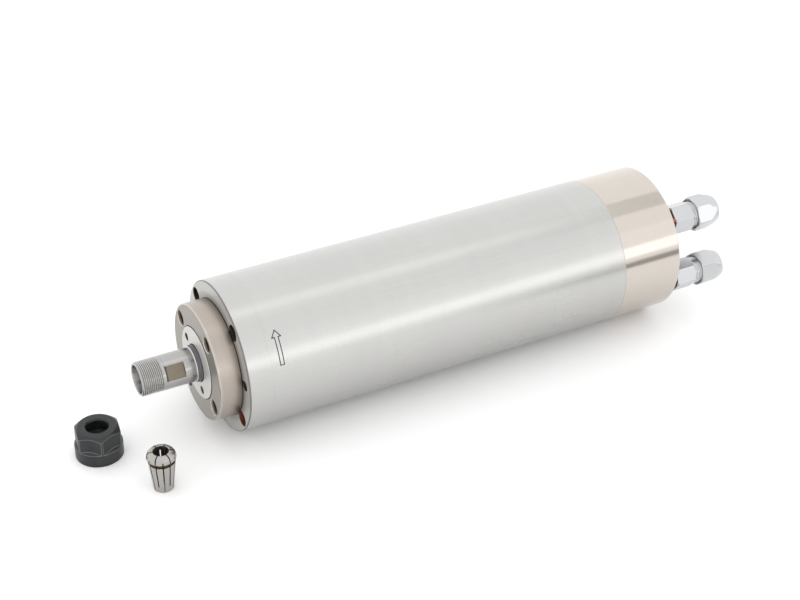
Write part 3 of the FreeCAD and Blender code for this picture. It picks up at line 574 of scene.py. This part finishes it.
# Turned metal: colour, darker colour, roughness, weight of the rings.
# Plain: two colours, roughness, metallic, scale and depth of the grain.
FINISH = {
    "tube": ground_tube(),
    "flange_face": flange_face(),
    # Rounded rim of the flange: darker, a painted reflection.
    "rim": turned_metal("flange_rim_painted_reflection", (0.25, 0.245, 0.24), (0.18, 0.175, 0.17), 0.3),
    "rust": plain("bored_rust", (0.05, 0.016, 0.008), (0.33, 0.115, 0.05), 0.5, 0.4, relief=0.02),
    # Walls of the flange's screw and jack holes: painted shade.
    "hole_shade": plain("bored_shade", (0.02, 0.014, 0.01), (0.09, 0.064, 0.046), 0.5, 0.5, relief=0.02),
    "cap": turned_metal("cap_bright", (0.585, 0.54, 0.49), (0.545, 0.502, 0.452), 0.13, 0.35, 0.002, 0.02),
    "cover_side": boss_side(),
    "cover_face": turned_metal("satin_nickel_face", (0.385, 0.36, 0.33), (0.3, 0.278, 0.254), 0.46, 0.8,
                               0.03),
    # Rounded front edge of the boss: lighter as a painted highlight, and glossier.
    "cover_edge": turned_metal("satin_nickel_edge_highlight", (0.52, 0.48, 0.442), (0.43, 0.398, 0.366), 0.12),
    "bored": counterbore(),
    # Walls of the narrow gaps round the dust ring and its seat: painted shade.
    "gap": plain("gap_shade", (0.012, 0.011, 0.01), (0.03, 0.027, 0.024), 0.6),
    # Walls of the wrench holes in the dust ring: painted shade.
    "wrench_hole_shade": plain("wrench_hole_shade", (0.11, 0.085, 0.065), (0.26, 0.215, 0.175), 0.45, 0.5),
    "ring": turned_metal("ring_face", (0.64, 0.628, 0.602), (0.55, 0.538, 0.516), 0.42, 0.8, 0.03,
                         metallic=0.55),
    "shaft": turned_metal("shaft_ground", (0.45, 0.446, 0.438), (0.33, 0.327, 0.32), 0.2, 1.0),
    "flat": milled_flat(),
    "thread": nose_thread(),
    "collar": turned_metal("collar_steel", (0.6, 0.594, 0.586), (0.48, 0.474, 0.468), 0.2, 0.8),
    # Side of the collar inside the dust ring's bore: painted dark shade and reflection.
    "collar_side_shade": turned_metal("collar_side_shade", (0.23, 0.235, 0.25), (0.13, 0.132, 0.14), 0.22, 1.0),
    "screw": plain("screw_black", (0.016, 0.014, 0.013), (0.045, 0.038, 0.032), 0.5, 0.6, relief=0.008),
    "plating": plating("fitting_plating", (0.54, 0.55, 0.562), 0.23),
    "socket": plating("socket_plating", (0.72, 0.72, 0.71), 0.22),
    "black": oxide_black(),
    # Chamfered edges of the loose nut: lighter, partly rubbed through the oxide and partly a painted
    # highlight.
    "edge": plain("worn_edge_and_highlight", (0.07, 0.073, 0.073), (0.23, 0.235, 0.235), 0.35, 1.0, 900.0, 0.0, 0.2),
    "collet": spring_steel(),
    # Walls of the collet's slots and its bore: painted shade.
    "slot": plain("slot_wall_shade", (0.035, 0.03, 0.026), (0.07, 0.06, 0.052), 0.5, 0.6),
    "seal": plain("seal_dark", (0.04, 0.038, 0.022), (0.075, 0.07, 0.04), 0.55, scale=700.0),
    "sealant": plain("sealant_red", (0.62, 0.05, 0.02), (0.8, 0.1, 0.04), 0.32, relief=0.02),
    "rubber": plain("gasket_black", (0.018, 0.018, 0.018), (0.035, 0.035, 0.035), 0.6, scale=700.0),
    "insulator": plain("insulator_black", (0.02, 0.02, 0.021), (0.032, 0.032, 0.034), 0.34, 0.0, 1200.0,
                       0.004),
    "pin": plating("pin_plating", (0.86, 0.66, 0.3), 0.2),
    "aluminium": turned_metal("machined_aluminium", (0.72, 0.72, 0.73), (0.62, 0.62, 0.63), 0.34, 0.7),
    "sheets": laminated(),
    "copper": wound_copper(),
    "bearing": turned_metal("bearing_polish", (0.62, 0.62, 0.63), (0.55, 0.55, 0.56), 0.1, 0.3),
    "spring": turned_metal("spring_blue", (0.26, 0.28, 0.34), (0.2, 0.22, 0.27), 0.3),
    "lead": plain("lead_sleeving", (0.62, 0.58, 0.44), (0.72, 0.69, 0.56), 0.6, 0.0, 1500.0, 0.02),
    "card": plain("grey_card", (0.24, 0.235, 0.225), (0.27, 0.265, 0.255), 0.9, 0.0, 5.0, 0.0),
    "pale_card": plain("pale_card", (0.75, 0.75, 0.75), (0.78, 0.78, 0.78), 0.9, 0.0, 5.0, 0.0),
    "mark": plain("etched_mark", (0.02, 0.018, 0.02), (0.045, 0.04, 0.042), 0.55, 0.0, 2500.0, 0.004),
}


# Pieces

def outer_edges(mesh, least):
    """1 for each sharp edge on the outside of the loose nut, 0 for the others."""
    table = bmesh.new()
    table.from_mesh(mesh)
    middle = Vector(NUT_PLACE) * MM
    marks = []
    for edge in table.edges:
        away = min((corner.co.xy - middle).length for corner in edge.verts)
        marks.append(1.0 if away > NUT_EDGE * MM and edge.calc_face_angle(0.0) > least else 0.0)
    table.free()
    return marks


def ease_edges(thing, width, least):
    """Small chamfers along the outside edges, in the last finish of the piece."""
    rims = thing.data.attributes.new("bevel_weight_edge", "FLOAT", "EDGE")
    rims.data.foreach_set("value", outer_edges(thing.data, least))
    easing = thing.modifiers.new("easing", "BEVEL")
    easing.width = width * MM
    easing.segments = 1
    easing.limit_method = "WEIGHT"
    easing.use_clamp_overlap = False
    easing.material = len(thing.data.materials) - 1
    thing.data = evaluated(thing)
    thing.modifiers.clear()


def make(name, solid, body, looks, replaces=None, sharp=28.0, bevel=None, part=None):
    """Turns a solid in millimetres into a finished piece on a body; part names the finish of each face."""
    bmesh.ops.remove_doubles(solid, verts=solid.verts, dist=1e-4)
    bmesh.ops.transform(solid, matrix=Matrix.Scale(MM, 4), verts=solid.verts)
    thing = placed(solid, name)
    for finish in looks:
        thing.data.materials.append(FINISH[finish])
    least = math.radians(sharp)
    if bevel:
        ease_edges(thing, bevel, least)
    thing.data.polygons.foreach_set("use_smooth", [True] * len(thing.data.polygons))
    thing.data.set_sharp_from_angle(angle=least)
    weight = thing.modifiers.new("normals", "WEIGHTED_NORMAL")
    weight.keep_sharp = True
    thing.data = evaluated(thing)
    thing.modifiers.clear()
    thing.data.name = name
    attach(thing, body)
    if replaces:
        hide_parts(replaces)
    if part:
        for face in thing.data.polygons:
            face.material_index = looks.index(part(face.center / MM, face.normal))


def near(middle, places, reach):
    """Whether a point is within reach of one of some lines along X."""
    return any(math.dist(middle.yz, place) < reach for place in places)


def flange():
    """Front shield: the flange face with its screw and jack holes, and the spigot behind it."""
    spigot, spigot_rear = 23.95, 27.0
    seat, shoulder, shoulder_front = 16.0, 14.0, 20.0
    outline = eased([(0, seat), (0, BARREL, RIM_EASING), (FLANGE_REAR, BARREL, FRONT_SEAM),
                     (FLANGE_REAR, spigot), (spigot_rear, spigot, 0.4), (spigot_rear, shoulder),
                     (shoulder_front, shoulder), (shoulder_front, seat)])
    places = four_places(SCREW_CIRCLE, FLANGE_SCREW_ANGLE)
    jacks = [polar(JACK_CIRCLE, angle) for angle in JACK_ANGLES]
    cuts = [hole(0.0, 1, HEAD_HOLE, 6.0, place, 0.2, (SHANK_HOLE, 10.5)) for place in places]
    cuts += [hole(0.0, 1, JACK_HOLE, 7.0, place) for place in jacks]
    solid = combined(turned(outline, FINE), together(cuts))

    def part(middle, normal):
        reach = HEAD_HOLE + MARGIN
        if middle.x > 0.01 and near(middle, places[3:], reach):
            return "rust"
        if middle.x > 0.01 and (near(middle, places, reach) or near(middle, jacks[:1], JACK_HOLE + 0.2)):
            return "hole_shade"
        if middle.x < 0.01 and normal.x < -0.99:
            return "flange_face"
        edge = RIM_EASING - HAIR
        return "rim" if middle.x < edge and middle.yz.length > BARREL - edge else "tube"

    looks = ["tube", "flange_face", "rim", "rust", "hole_shade"]
    make("flange", solid, "housing", looks, "front_shield", part=part)


def cover():
    """Bearing cover: the raised boss that takes four screws and the dust ring."""
    ring_seat, ring_shelf, collar_bore = 15.05, 13.8, 9.3
    register, register_rear, lip = 15.95, 2.0, 13.2
    groove_rear = -1.5
    outline = eased([(COVER_FRONT, ring_seat, 0.12), (COVER_FRONT, COVER_RADIUS, COVER_EASING),
                     (0.0, COVER_RADIUS, 0.1), (0.0, register), (register_rear, register, 0.2),
                     (register_rear, lip), (0.0, collar_bore), (groove_rear, collar_bore),
                     (groove_rear, ring_shelf), (RING_REAR, ring_shelf), (RING_REAR, ring_seat)], 5)
    places = four_places(COVER_SCREW_CIRCLE, COVER_SCREW_ANGLE)
    cuts = [hole(COVER_FRONT, 1, HEAD_HOLE, 5.5, place, 0.22, (SHANK_HOLE, 9.8)) for place in places]
    solid = combined(turned(outline, FINE), together(cuts))

    def part(middle, normal):
        away = middle.yz.length
        depth = middle.x - COVER_FRONT
        if away < ring_seat + MARGIN and depth > 0.2:
            return "gap"
        if depth > 0.01 and near(middle, places, HEAD_HOLE + MARGIN):
            return "bored"
        if away > COVER_RADIUS - 0.9 and depth < COVER_EASING - 0.01:
            return "cover_edge" if normal.x > -0.99 else "cover_face"
        return "cover_face" if depth < 0.25 else "cover_side"

    looks = ["cover_side", "cover_face", "cover_edge", "bored", "gap"]
    make("cover", solid, "housing", looks, "bearing_cover", part=part)


def dust_ring():
    """Ring screwed into the cover, with two wrench holes and two staking dots by its bore."""
    outline = eased([(RING_FRONT, RING_BORE, 0.2), (RING_FRONT, RING_RADIUS, 0.3), (RING_REAR, RING_RADIUS),
                     (RING_REAR, RING_BORE, 0.1)])
    wrench, wrench_circle = 1.7, 11.3
    dot, dot_circle = 0.22, 8.8
    cuts = []
    for angle in (142.6, -65.8):
        cuts.append(hole(RING_FRONT, 1, wrench, 2.0, polar(wrench_circle, angle), 0.12))
    for angle in (31.0, 48.0):
        cuts.append(hole(RING_FRONT, 1, dot, 0.3, polar(dot_circle, angle), 0.08, count=12))
    solid = combined(turned(outline, FINE), together(cuts))

    def part(middle, normal):
        away = middle.yz.length
        depth = middle.x - RING_FRONT
        if depth > 0.15 and 9.0 < away < 14.0:
            return "wrench_hole_shade"
        return "gap" if depth > 0.45 and away > RING_RADIUS - 0.1 else "ring"

    looks = ["ring", "gap", "wrench_hole_shade"]
    make("dust_ring_face", solid, "housing", looks, "dust_ring", part=part)


def tube():
    """Outer tube, with a fine seam at both ends."""
    inside = 29.0
    outline = eased([(FLANGE_REAR, inside), (FLANGE_REAR, BARREL, FRONT_SEAM),
                     (TUBE_REAR, BARREL, REAR_SEAM), (TUBE_REAR, inside)])
    make("tube", turned(outline, FINE), "housing", ["tube"], "jacket_tube")


def cap():
    """Rear cap with its socket hole, screw holes and water ports."""
    front, step = 168.0, 28.95
    recess, recess_rear = 22.5, 186.0
    cavity, cavity_rear = 19.5, 195.0
    outline = eased([(front, recess), (front, step), (TUBE_REAR, step), (TUBE_REAR, BARREL, REAR_SEAM),
                     (REAR_FACE, BARREL, 0.9), (REAR_FACE, 0.0), (cavity_rear, 0.0), (cavity_rear, cavity),
                     (recess_rear, cavity), (recess_rear, recess)], 4)
    cuts = [hole(REAR_FACE, -1, 8.0, 4.6, polar(*SOCKET_PLACE))]
    for place in four_places(SCREW_CIRCLE, CAP_SCREW_ANGLE):
        cuts.append(hole(REAR_FACE, -1, 3.0, 4.0, place, 0.2, (SHANK_HOLE, 31.5)))
    for place in FITTINGS.values():
        cuts.append(hole(REAR_FACE, -1, FITTING_STEM, 10.0, polar(FITTING_CIRCLE, place["angle"]), 0.4))
    solid = combined(turned(outline, FINE), together(cuts))
    make("rear_end", solid, "housing", ["cap"], "rear_cap")


def screws(name, radius, angle, head_top, tip, node):
    """Four socket head screws with a knurled head."""
    way = 1 if tip > head_top else -1
    head, shank, head_length = 2.75, 1.5, 3.0
    grooves, groove_depth = 30, 0.09
    seat = head_top + way * head_length
    knurl_low, knurl_high = sorted((head_top + way * 0.5, seat - way * 0.4))

    def knurled(x, reach, turn):
        if reach > head - 0.15 and knurl_low <= x <= knurl_high:
            return reach - groove_depth * (0.5 - 0.5 * math.cos(math.radians(turn * grooves)))
        return reach

    outline = [(head_top, 0.0), (head_top, 2.4), (head_top + way * 0.1, 2.62),
               (head_top + way * 0.35, head), (head_top + way * 0.55, head), (seat - way * 0.45, head),
               (seat - way * 0.1, head), (seat, head - 0.1), (seat, shank), (tip - way * 0.4, shank),
               (tip, 1.2), (tip, 0.0)]
    out, deep = head_top - way * 0.2, head_top + way * 0.25
    solids = []
    for k, centre in enumerate(four_places(radius, angle)):
        body = turned(outline, 120, centre, knurled)
        low, high = sorted((head_top - way * 0.5, head_top + way * 1.6))
        key_hole = prism(2.5, low, high, centre, 30.0 + 17.0 * k, 0.05)
        chamfer = turned([(out, 0.0), (out, 1.75), (deep, 1.25), (deep, 0.0)], 36, centre)
        solids.append(combined(combined(body, key_hole), chamfer))
    make(name, together(solids), "housing", ["screw"], node)


def shaft():
    """Spindle shaft: tapered bore, fine thread, wrench flats, and the seats inside the barrel."""
    middles = (FLAT_ANGLE, FLAT_ANGLE + 180)
    corner = math.degrees(math.acos(FLAT_DEPTH / SHAFT))
    angles = set(even_angles(120))
    for middle in middles:
        angles |= {(middle - corner) % 360, (middle + corner) % 360}
    thread = helix(NOSE_PITCH, SHAFT, THREAD_ROOT, TIP + 0.1, THREAD_END, 0.35)
    flat_low, flat_high = FLATS[0] + HAIR, FLATS[1] - HAIR

    def form(x, reach, angle):
        if flat_low <= x <= flat_high and reach > FLAT_DEPTH:
            for middle in middles:
                away = math.cos(math.radians(angle - middle))
                if away > 0 and FLAT_DEPTH / away < reach:
                    return FLAT_DEPTH / away
        return thread(x, reach, angle)

    cone_mouth, cone_length, cone_slope = 5.75, 13.5, math.tan(math.radians(8.0))
    bore, bore_end = 3.75, TIP + 29.0
    profile = [(bore_end + 1.9, 0.0), (bore_end, bore), (TIP + cone_length + 0.1, bore),
               (TIP + cone_length, cone_mouth - cone_length * cone_slope), (TIP + 0.3, cone_mouth),
               (TIP + 0.08, cone_mouth + 0.12), (TIP, cone_mouth + 0.3), (TIP, 6.45), (TIP + 0.1, 6.62)]
    stations = stretch(TIP + 0.55, THREAD_END, NOSE_PITCH / 18)
    stations += [THREAD_END + 0.1, FLATS[0] - HAIR, flat_low, flat_high, FLATS[1]]
    profile += [(x, SHAFT) for x in stations]
    start, last = 2.0, SHAFT
    for radius, end in ((7.5, 20.0), (9.5, 24.0), (9.0, 146.0), (8.0, 152.0), (6.0, 167.0)):
        profile += [(start, last), (start, radius)]
        start, last = end, radius
    profile += [(start, last), (start + 0.4, last - 0.4), (start + 0.4, 0.0)]
    solid = turned(profile, angles=sorted(angles), form=form)

    def part(middle, normal):
        away = middle.yz.length
        if TIP + 0.5 < middle.x < THREAD_END and away > THREAD_ROOT - 0.1:
            return "thread"
        return "flat" if FLATS[0] < middle.x < FLATS[1] and away < SHAFT - 0.03 else "shaft"

    make("shaft", solid, "rotor", ["shaft", "flat", "thread"], "spindle_shaft", part=part)


def collar():
    """Labyrinth collar behind the dust ring, with its slinger."""
    inside, outside, slinger, hub = 7.02, 7.5, 12.75, 8.9
    slinger_front, slinger_rear, rear = -3.85, -2.65, 2.0
    outline = eased([(COLLAR_FRONT, inside), (COLLAR_FRONT, 7.2, 0.08), (COLLAR_FRONT + 0.3, outside, 0.08),
                     (slinger_front, outside), (slinger_front, slinger, 0.2), (slinger_rear, slinger, 0.2),
                     (slinger_rear, hub), (rear, hub), (rear, inside)])

    def part(middle, normal):
        return "collar_side_shade" if middle.x > COLLAR_FRONT + 0.6 else "collar"

    looks = ["collar", "collar_side_shade"]
    make("collar", turned(outline), "rotor", looks, "labyrinth_collar", part=part)


def fitting(name):
    """Hose fitting: hexagon, threaded neck and barb."""
    place = FITTINGS[name]
    centre = polar(FITTING_CIRCLE, place["angle"])
    flats, face, crest, root, pitch = 11.6, 5.75, 5.7, 5.45, 0.8
    barb, bead, bore = 2.1, 2.35, 1.3
    start, neck = 190.0, HEX_REAR + 7.0
    reach = flats / math.sqrt(3) + 0.1
    envelope = turned(eased([(HEX_FRONT, 0.0), (HEX_FRONT, face, 0.1), (HEX_FRONT + 0.5, reach),
                             (HEX_REAR - 0.9, reach, 0.3), (HEX_REAR, face, 0.2), (HEX_REAR, 0.0)], 4),
                      MEDIUM, centre)
    hexagon = prism(flats, HEX_FRONT, HEX_REAR, centre, place["hex_turn"], 0.35)
    outline = [(start, 0.0), (start, FITTING_STEM - 0.4), (start + 0.4, FITTING_STEM),
               (HEX_REAR - 0.5, FITTING_STEM), (HEX_REAR - 0.5, crest)]
    outline += [(x, crest) for x in stretch(HEX_REAR + 0.2, neck - 0.4, pitch / 10)]
    outline += [(neck, 5.3), (neck, barb), (neck + 3.2, barb), (neck + 3.6, bead), (neck + 5.2, 1.9),
                (neck + 5.2, bore), (start + 1.0, bore), (start + 1.0, 0.0)]
    stem = turned(outline, 96, centre, helix(pitch, crest, root, HEX_REAR + 0.2, neck - 0.2, 0.5))
    solid = combined(combined(hexagon, envelope, "INTERSECT"), stem, "UNION")
    node = name + "_hose_fitting"
    make(name + "_fitting", solid, "housing", ["plating"], node, sharp=24.0)


def cap_nut(name):
    """Cap nut of a hose fitting: a hexagon that runs out into a long cone."""
    place = FITTINGS[name]
    centre = polar(FITTING_CIRCLE, place["angle"])
    flats, length, face, end = 13.5, 11.4, 6.9, 5.8
    inside, mouth, hose_hole = 5.75, 6.3, 3.1
    front = HEX_REAR + place["gap"]
    rear = front + length
    reach = flats / math.sqrt(3)
    envelope = turned(eased([(front, 0.0), (front, face, 0.15), (front + 0.8, reach, 0.3),
                             (rear - 6.0, reach, 0.8), (rear, end, 0.45), (rear, 0.0)], 5), MEDIUM, centre)
    solid = combined(prism(flats, front, rear, centre, place["nut_turn"], 0.4), envelope, "INTERSECT")
    hollow = turned([(front - 0.5, 0.0), (front - 0.5, mouth), (front + 0.1, mouth), (front + 0.6, inside),
                     (rear - 2.2, inside), (rear - 2.2, hose_hole), (rear - 0.4, hose_hole),
                     (rear + 0.2, hose_hole + 0.6), (rear + 0.2, 0.0)], 96, centre)
    solid = combined(solid, hollow)
    node = name + "_hose_nut"
    make(name + "_cap_nut", solid, name + "_nut", ["plating"], node, sharp=24.0)


def seals():
    """Sealing washers under the hexagons, and a dab of sealant squeezed out of the upper one."""
    inside, outside, easing = 3.92, 5.0, 0.3
    outline = eased([(REAR_FACE, inside), (REAR_FACE, outside, easing), (HEX_FRONT, outside, easing),
                     (HEX_FRONT, inside)], 4)
    washers = [turned(outline, 72, polar(FITTING_CIRCLE, place["angle"])) for place in FITTINGS.values()]
    make("washers", together(washers), "housing", ["seal"], "fitting_seals")
    dab = bmesh.new()
    bmesh.ops.create_uvsphere(dab, u_segments=20, v_segments=12, radius=1.0)
    bmesh.ops.scale(dab, vec=(0.55, 0.75, 1.05), verts=dab.verts)
    bmesh.ops.translate(dab, vec=(REAR_FACE + 0.55, *polar(29.6, 41.4)), verts=dab.verts)
    make("sealant_dab", dab, "housing", ["sealant"], sharp=60.0)


def socket():
    """Panel socket: threaded shell with a key rib, insulator and four round-ended pins."""
    centre = polar(*SOCKET_PLACE)
    crest, root, pitch = 7.9, 7.35, 1.0
    inside, neck, rim = 6.65, 7.5, 9.3
    shell_rear, front, insert_face = 189.0, REAR_FACE + 0.5, REAR_FACE + 3.5
    mouth = front + 12.0
    outline = [(shell_rear, inside), (shell_rear, neck), (shell_rear + 0.4, crest), (front, crest)]
    outline += eased([(front, rim, 0.2), (front + 1.5, rim, 0.35), (front + 1.5, neck, 0.1)])
    outline += [(front + 2.4, neck), (front + 2.5, crest)]
    outline += [(x, crest) for x in stretch(front + 2.6, mouth - 0.4, pitch / 10)]
    outline += [(mouth, neck), (mouth, 7.0), (mouth - 0.3, inside)]
    shell = turned(outline, 120, centre, helix(pitch, crest, root, front + 2.6, mouth - 0.1, 0.5))
    rib = bar((insert_face, -0.6, 5.9), (mouth - 1.5, 0.6, 7.0))
    bmesh.ops.translate(rib, vec=(0.0, *centre), verts=rib.verts)
    shell = combined(shell, rib, "UNION")
    make("socket_body", shell, "housing", ["socket"], "socket_shell", sharp=24.0)
    pin, pin_rear, tip = 0.8, 185.0, REAR_FACE + 7.3
    pins = []
    cuts = []
    for y, z in four_places(3.9, 45):
        place = (centre[0] + y, centre[1] + z)
        pins.append(turned([(pin_rear, 0.0), (pin_rear, 0.7), (pin_rear + 0.3, pin), (tip - 0.7, pin),
                            (tip - 0.3, 0.68), (tip - 0.07, 0.35), (tip, 0.0)], 32, place))
        cuts.append(hole(insert_face, -1, 1.25, 0.5, place, 0.1, (pin, 15.0), 32))
    make("socket_contacts", together(pins), "housing", ["pin"], "socket_pins")
    insert, insert_rear = 6.6, 188.0
    core = turned(eased([(insert_rear, 0.0), (insert_rear, insert, 0.3), (insert_face, insert, 0.4),
                         (insert_face, 0.0)]), 72, centre)
    core = combined(core, together(cuts))
    make("socket_core", core, "housing", ["insulator"], "socket_insert")


def loose_nut():
    """Collet nut stood on the floor: coned top, short hexagon, bore with its cone and thread."""
    outside, height, top = 9.5, 13.2, 7.6
    flats, shelf, shelf_radius = 16.8, 6.6, 8.3
    crest, thread_top = 7.05, 6.2
    body = turned([(0.0, 0.0), (0.0, outside), (height - 1.645, outside), (height, top), (height, 0.0)])
    blank = turned([(height - shelf, 0.0), (height - shelf, shelf_radius), (height - 15.0, 17.0),
                    (height + 1.0, 17.0), (height + 1.0, 0.0)], 96)
    blank = combined(blank, prism(flats, height - 18.0, height + 2.0, (0.0, 0.0), 9.0, 0.3))
    body = combined(body, blank)
    thread = helix(NOSE_PITCH, 7.1, THREAD_ROOT, 0.45, thread_top, 0.4)

    def inner(x, reach, angle):
        return thread(x, 7.1, angle + 180.0) if reach > 6.5 and 0.45 < x < thread_top else reach

    hollow = [(-0.5, 0.0), (-0.5, 7.9), (0.42, crest)]
    hollow += [(x, crest) for x in stretch(0.5, thread_top - 0.05, NOSE_PITCH / 10)]
    hollow += [(thread_top, 7.35), (7.6, 7.35), (7.6, 6.85), (11.93, 4.35), (height - 0.7, 4.38),
               (height + 0.3, 5.0), (height + 0.3, 0.0)]
    body = combined(body, turned(hollow, 96, form=inner))
    body = stood(body, NUT_PLACE)
    make("nut", body, "loose_nut", ["black", "edge"], "collet_nut", sharp=18.0, bevel=0.11)


def loose_collet():
    """Spring collet stood on its narrow end, slotted six times from each end."""
    bore, foot, head, groove = 3.0, 3.9, 5.75, 4.7
    outline = eased([(0.0, bore), (0.0, foot, 0.2), (12.75, 5.35, 0.08), (12.95, groove), (14.6, groove),
                     (14.6, head, 0.08), (15.0, head, 0.15), (16.5, 5.4, 0.5), (17.25, 4.6, 0.35),
                     (17.5, 3.3, 0.2), (17.35, bore)])
    body = turned(outline, 144)
    slot, first_low, first_high = 0.24, 14.2, 44.2
    for k in range(6):
        body = combined(body, bar((-1.0, -8.0, -slot), (15.6, 0.0, slot), first_low + 60 * k))
        body = combined(body, bar((2.9, -8.0, -slot), (19.0, 0.0, slot), first_high + 60 * k))

    def part(middle, normal):
        away = middle.xy - Vector(COLLET_PLACE)
        side = Vector((-away.y, away.x)).normalized()
        return "slot" if abs(normal.xy.dot(side)) > 0.85 or away.length < bore + 0.05 else "collet"

    make("spring_collet", stood(body, COLLET_PLACE), "loose_collet", ["collet", "slot"],
         "collet", sharp=26.0, part=part)


def way_of_turning():
    """Outline of the arrow, etched round the tube, that shows which way the spindle turns."""
    tip, barb, foot = 44.4, 39.3, 18.9
    half, wide, middle, line = 0.78, 1.85, 14.55, 0.40
    corners = [(middle - half, foot), (middle - half, barb), (middle - wide, barb), (middle, tip),
               (middle + wide, barb), (middle + half, barb), (middle + half, foot)]
    degree = math.degrees(1.0 / BARREL)
    marks = bmesh.new()
    for one, two in zip(corners, corners[1:] + corners[:1]):
        start = Vector((one[0], one[1] / degree))
        end = Vector((two[0], two[1] / degree))
        along = (end - start).normalized()
        side = Vector((-along[1], along[0])) * line / 2
        start, end = start - along * line / 2, end + along * line / 2
        strip = []
        for share in stretch(0.0, 1.0, 0.5 / (end - start).length):
            here = start.lerp(end, share)
            strip.append([marks.verts.new((point[0], *polar(BARREL + 0.012, point[1] * degree)))
                          for point in (here - side, here + side)])
        for low, high in zip(strip, strip[1:]):
            marks.faces.new([low[0], low[1], high[1], high[0]])
    for face in marks.faces:
        face.normal_update()
        if face.normal.yz.dot(face.calc_center_median().yz) < 0:
            face.normal_flip()
    make("turn_mark", marks, "housing", ["mark"])


flange()
cover()
dust_ring()
tube()
cap()
screws("front_screws", SCREW_CIRCLE, FLANGE_SCREW_ANGLE, 3.0, 17.5, "flange_screws")
screws("boss_screws", COVER_SCREW_CIRCLE, COVER_SCREW_ANGLE, -6.5, 6.0, "cover_screws")
screws("rear_screws", SCREW_CIRCLE, CAP_SCREW_ANGLE, 198.0, 154.5, "cap_screws")
shaft()
collar()
for side in FITTINGS:
    fitting(side)
    cap_nut(side)
seals()
socket()
loose_nut()
loose_collet()
way_of_turning()

# Finishes of the solids that stay as they are.
NODE_FINISH = {
    "aluminium": ["water_sleeve", "rear_shield", "rotor_end_rings"],
    "rubber": ["sleeve_seals", "socket_gasket"],
    "sheets": ["stator_core", "rotor_core"],
    "copper": ["stator_windings"],
    "lead": ["phase_leads"],
    "spring": ["preload_spring"],
    "bearing": ["front_outer_rings", "rear_outer_ring", "front_inner_rings", "rear_inner_ring",
                "front_ball_sets", "rear_ball_set"],
    "socket": ["socket_nut"],
    "screw": ["shaft_lock_nut"],
    "pin": ["upper_ferrule", "lower_ferrule"],
}
for finish_name, names in NODE_FINISH.items():
    for node_name in names:
        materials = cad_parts[node_name].data.materials
        materials.clear()
        materials.append(FINISH[finish_name])


# Floor, light and camera; sizes here are in metres.

def sheet(name, material, place, size, turn=0.0):
    """Level rectangle that belongs to the studio; size is half its length and half its width."""
    mesh = bmesh.new()
    bmesh.ops.create_grid(mesh, x_segments=1, y_segments=1, size=1.0)
    bmesh.ops.scale(mesh, vec=(size[0], size[1], 1.0), verts=mesh.verts)
    bmesh.ops.rotate(mesh, matrix=Matrix.Rotation(math.radians(turn), 3, "Z"), verts=mesh.verts)
    bmesh.ops.translate(mesh, vec=place, verts=mesh.verts)
    thing = placed(mesh, name)
    thing.data.materials.append(material)
    return thing


def floor():
    """Pale floor, wide enough to run out of every view."""
    finish = Finish("pale_floor")
    cloud = finish.cloud(3.0, 2.0)
    tone = finish.shade(cloud, (0.945, 0.945, 0.945), (0.955, 0.955, 0.955))
    material = finish.done(tone, cloud * 0.05 + 0.6, metallic=0.0)
    sheet("floor", material, (0.08, 0.0, FLOOR * MM - 0.00005), (6.0, 6.0))


def soft_light(name, towards, elevation, distance, width, height, power):
    """Area light aimed at the middle of the barrel, at a bearing from -Y towards +X."""
    lamp = bpy.data.lights.new(name, "AREA")
    lamp.shape = "RECTANGLE"
    lamp.size = width
    lamp.size_y = height
    lamp.energy = power
    thing = added(name, lamp)
    bearing, rise = math.radians(towards), math.radians(elevation)
    way = Vector((math.cos(rise) * math.sin(bearing), -math.cos(rise) * math.cos(bearing), math.sin(rise)))
    thing.location = Vector((0.09, 0.0, 0.0)) + way * distance
    thing.rotation_euler = (-way).to_track_quat("-Z", "Y").to_euler()
    thing.visible_camera = False


def card(name, finish, place, size, turn=0.0):
    """Level card of the studio that only the bright metal reflects."""
    thing = sheet(name, FINISH[finish], place, size, turn)
    thing.visible_camera = False
    thing.visible_diffuse = False
    thing.visible_shadow = False


def camera():
    """Camera at the photograph's viewing angle."""
    yaw, pitch, roll = [math.radians(angle) for angle in VIEW_ANGLES]
    ahead = Vector((math.cos(pitch) * math.cos(yaw), math.cos(pitch) * math.sin(yaw), -math.sin(pitch)))
    right = Vector((math.sin(yaw), -math.cos(yaw), 0.0))
    up = right.cross(ahead)
    side = right * math.cos(roll) + up * math.sin(roll)
    top = up * math.cos(roll) - right * math.sin(roll)
    lens = bpy.data.cameras.new("view")
    lens.lens = VIEW_LENS
    lens.clip_start = 0.01
    lens.clip_end = 50.0
    thing = added("view", lens)
    turn = Matrix((side, top, -ahead)).transposed().to_4x4()
    thing.matrix_world = Matrix.Translation(Vector(VIEW_PLACE)) @ turn
    bpy.context.scene.camera = thing


floor()
# Name, bearing, elevation, distance, width, height and power.
soft_light("low_box", 27.0, 12.5, 1.3, 1.6, 0.3, 1.05)
soft_light("upper_box", 27.0, 30.0, 1.3, 1.6, 0.45, 0.2)
soft_light("top_box", 90.0, 82.0, 1.5, 0.32, 1.2, 0.4)
card("low_card", "card", (0.921, -1.111, FLOOR * MM + 0.002), (1.05, 0.14), -58.2)
card("high_card", "pale_card", (1.05, -0.05, 1.35), (0.16, 0.3))
world = bpy.data.worlds.new("soft_room")
world.use_nodes = True
room = world.node_tree.nodes["Background"].inputs
room["Color"].default_value = (1.0, 1.0, 1.0, 1.0)
room["Strength"].default_value = 1.32
bpy.context.scene.world = world
bpy.context.scene.view_settings.view_transform = "Standard"
camera()
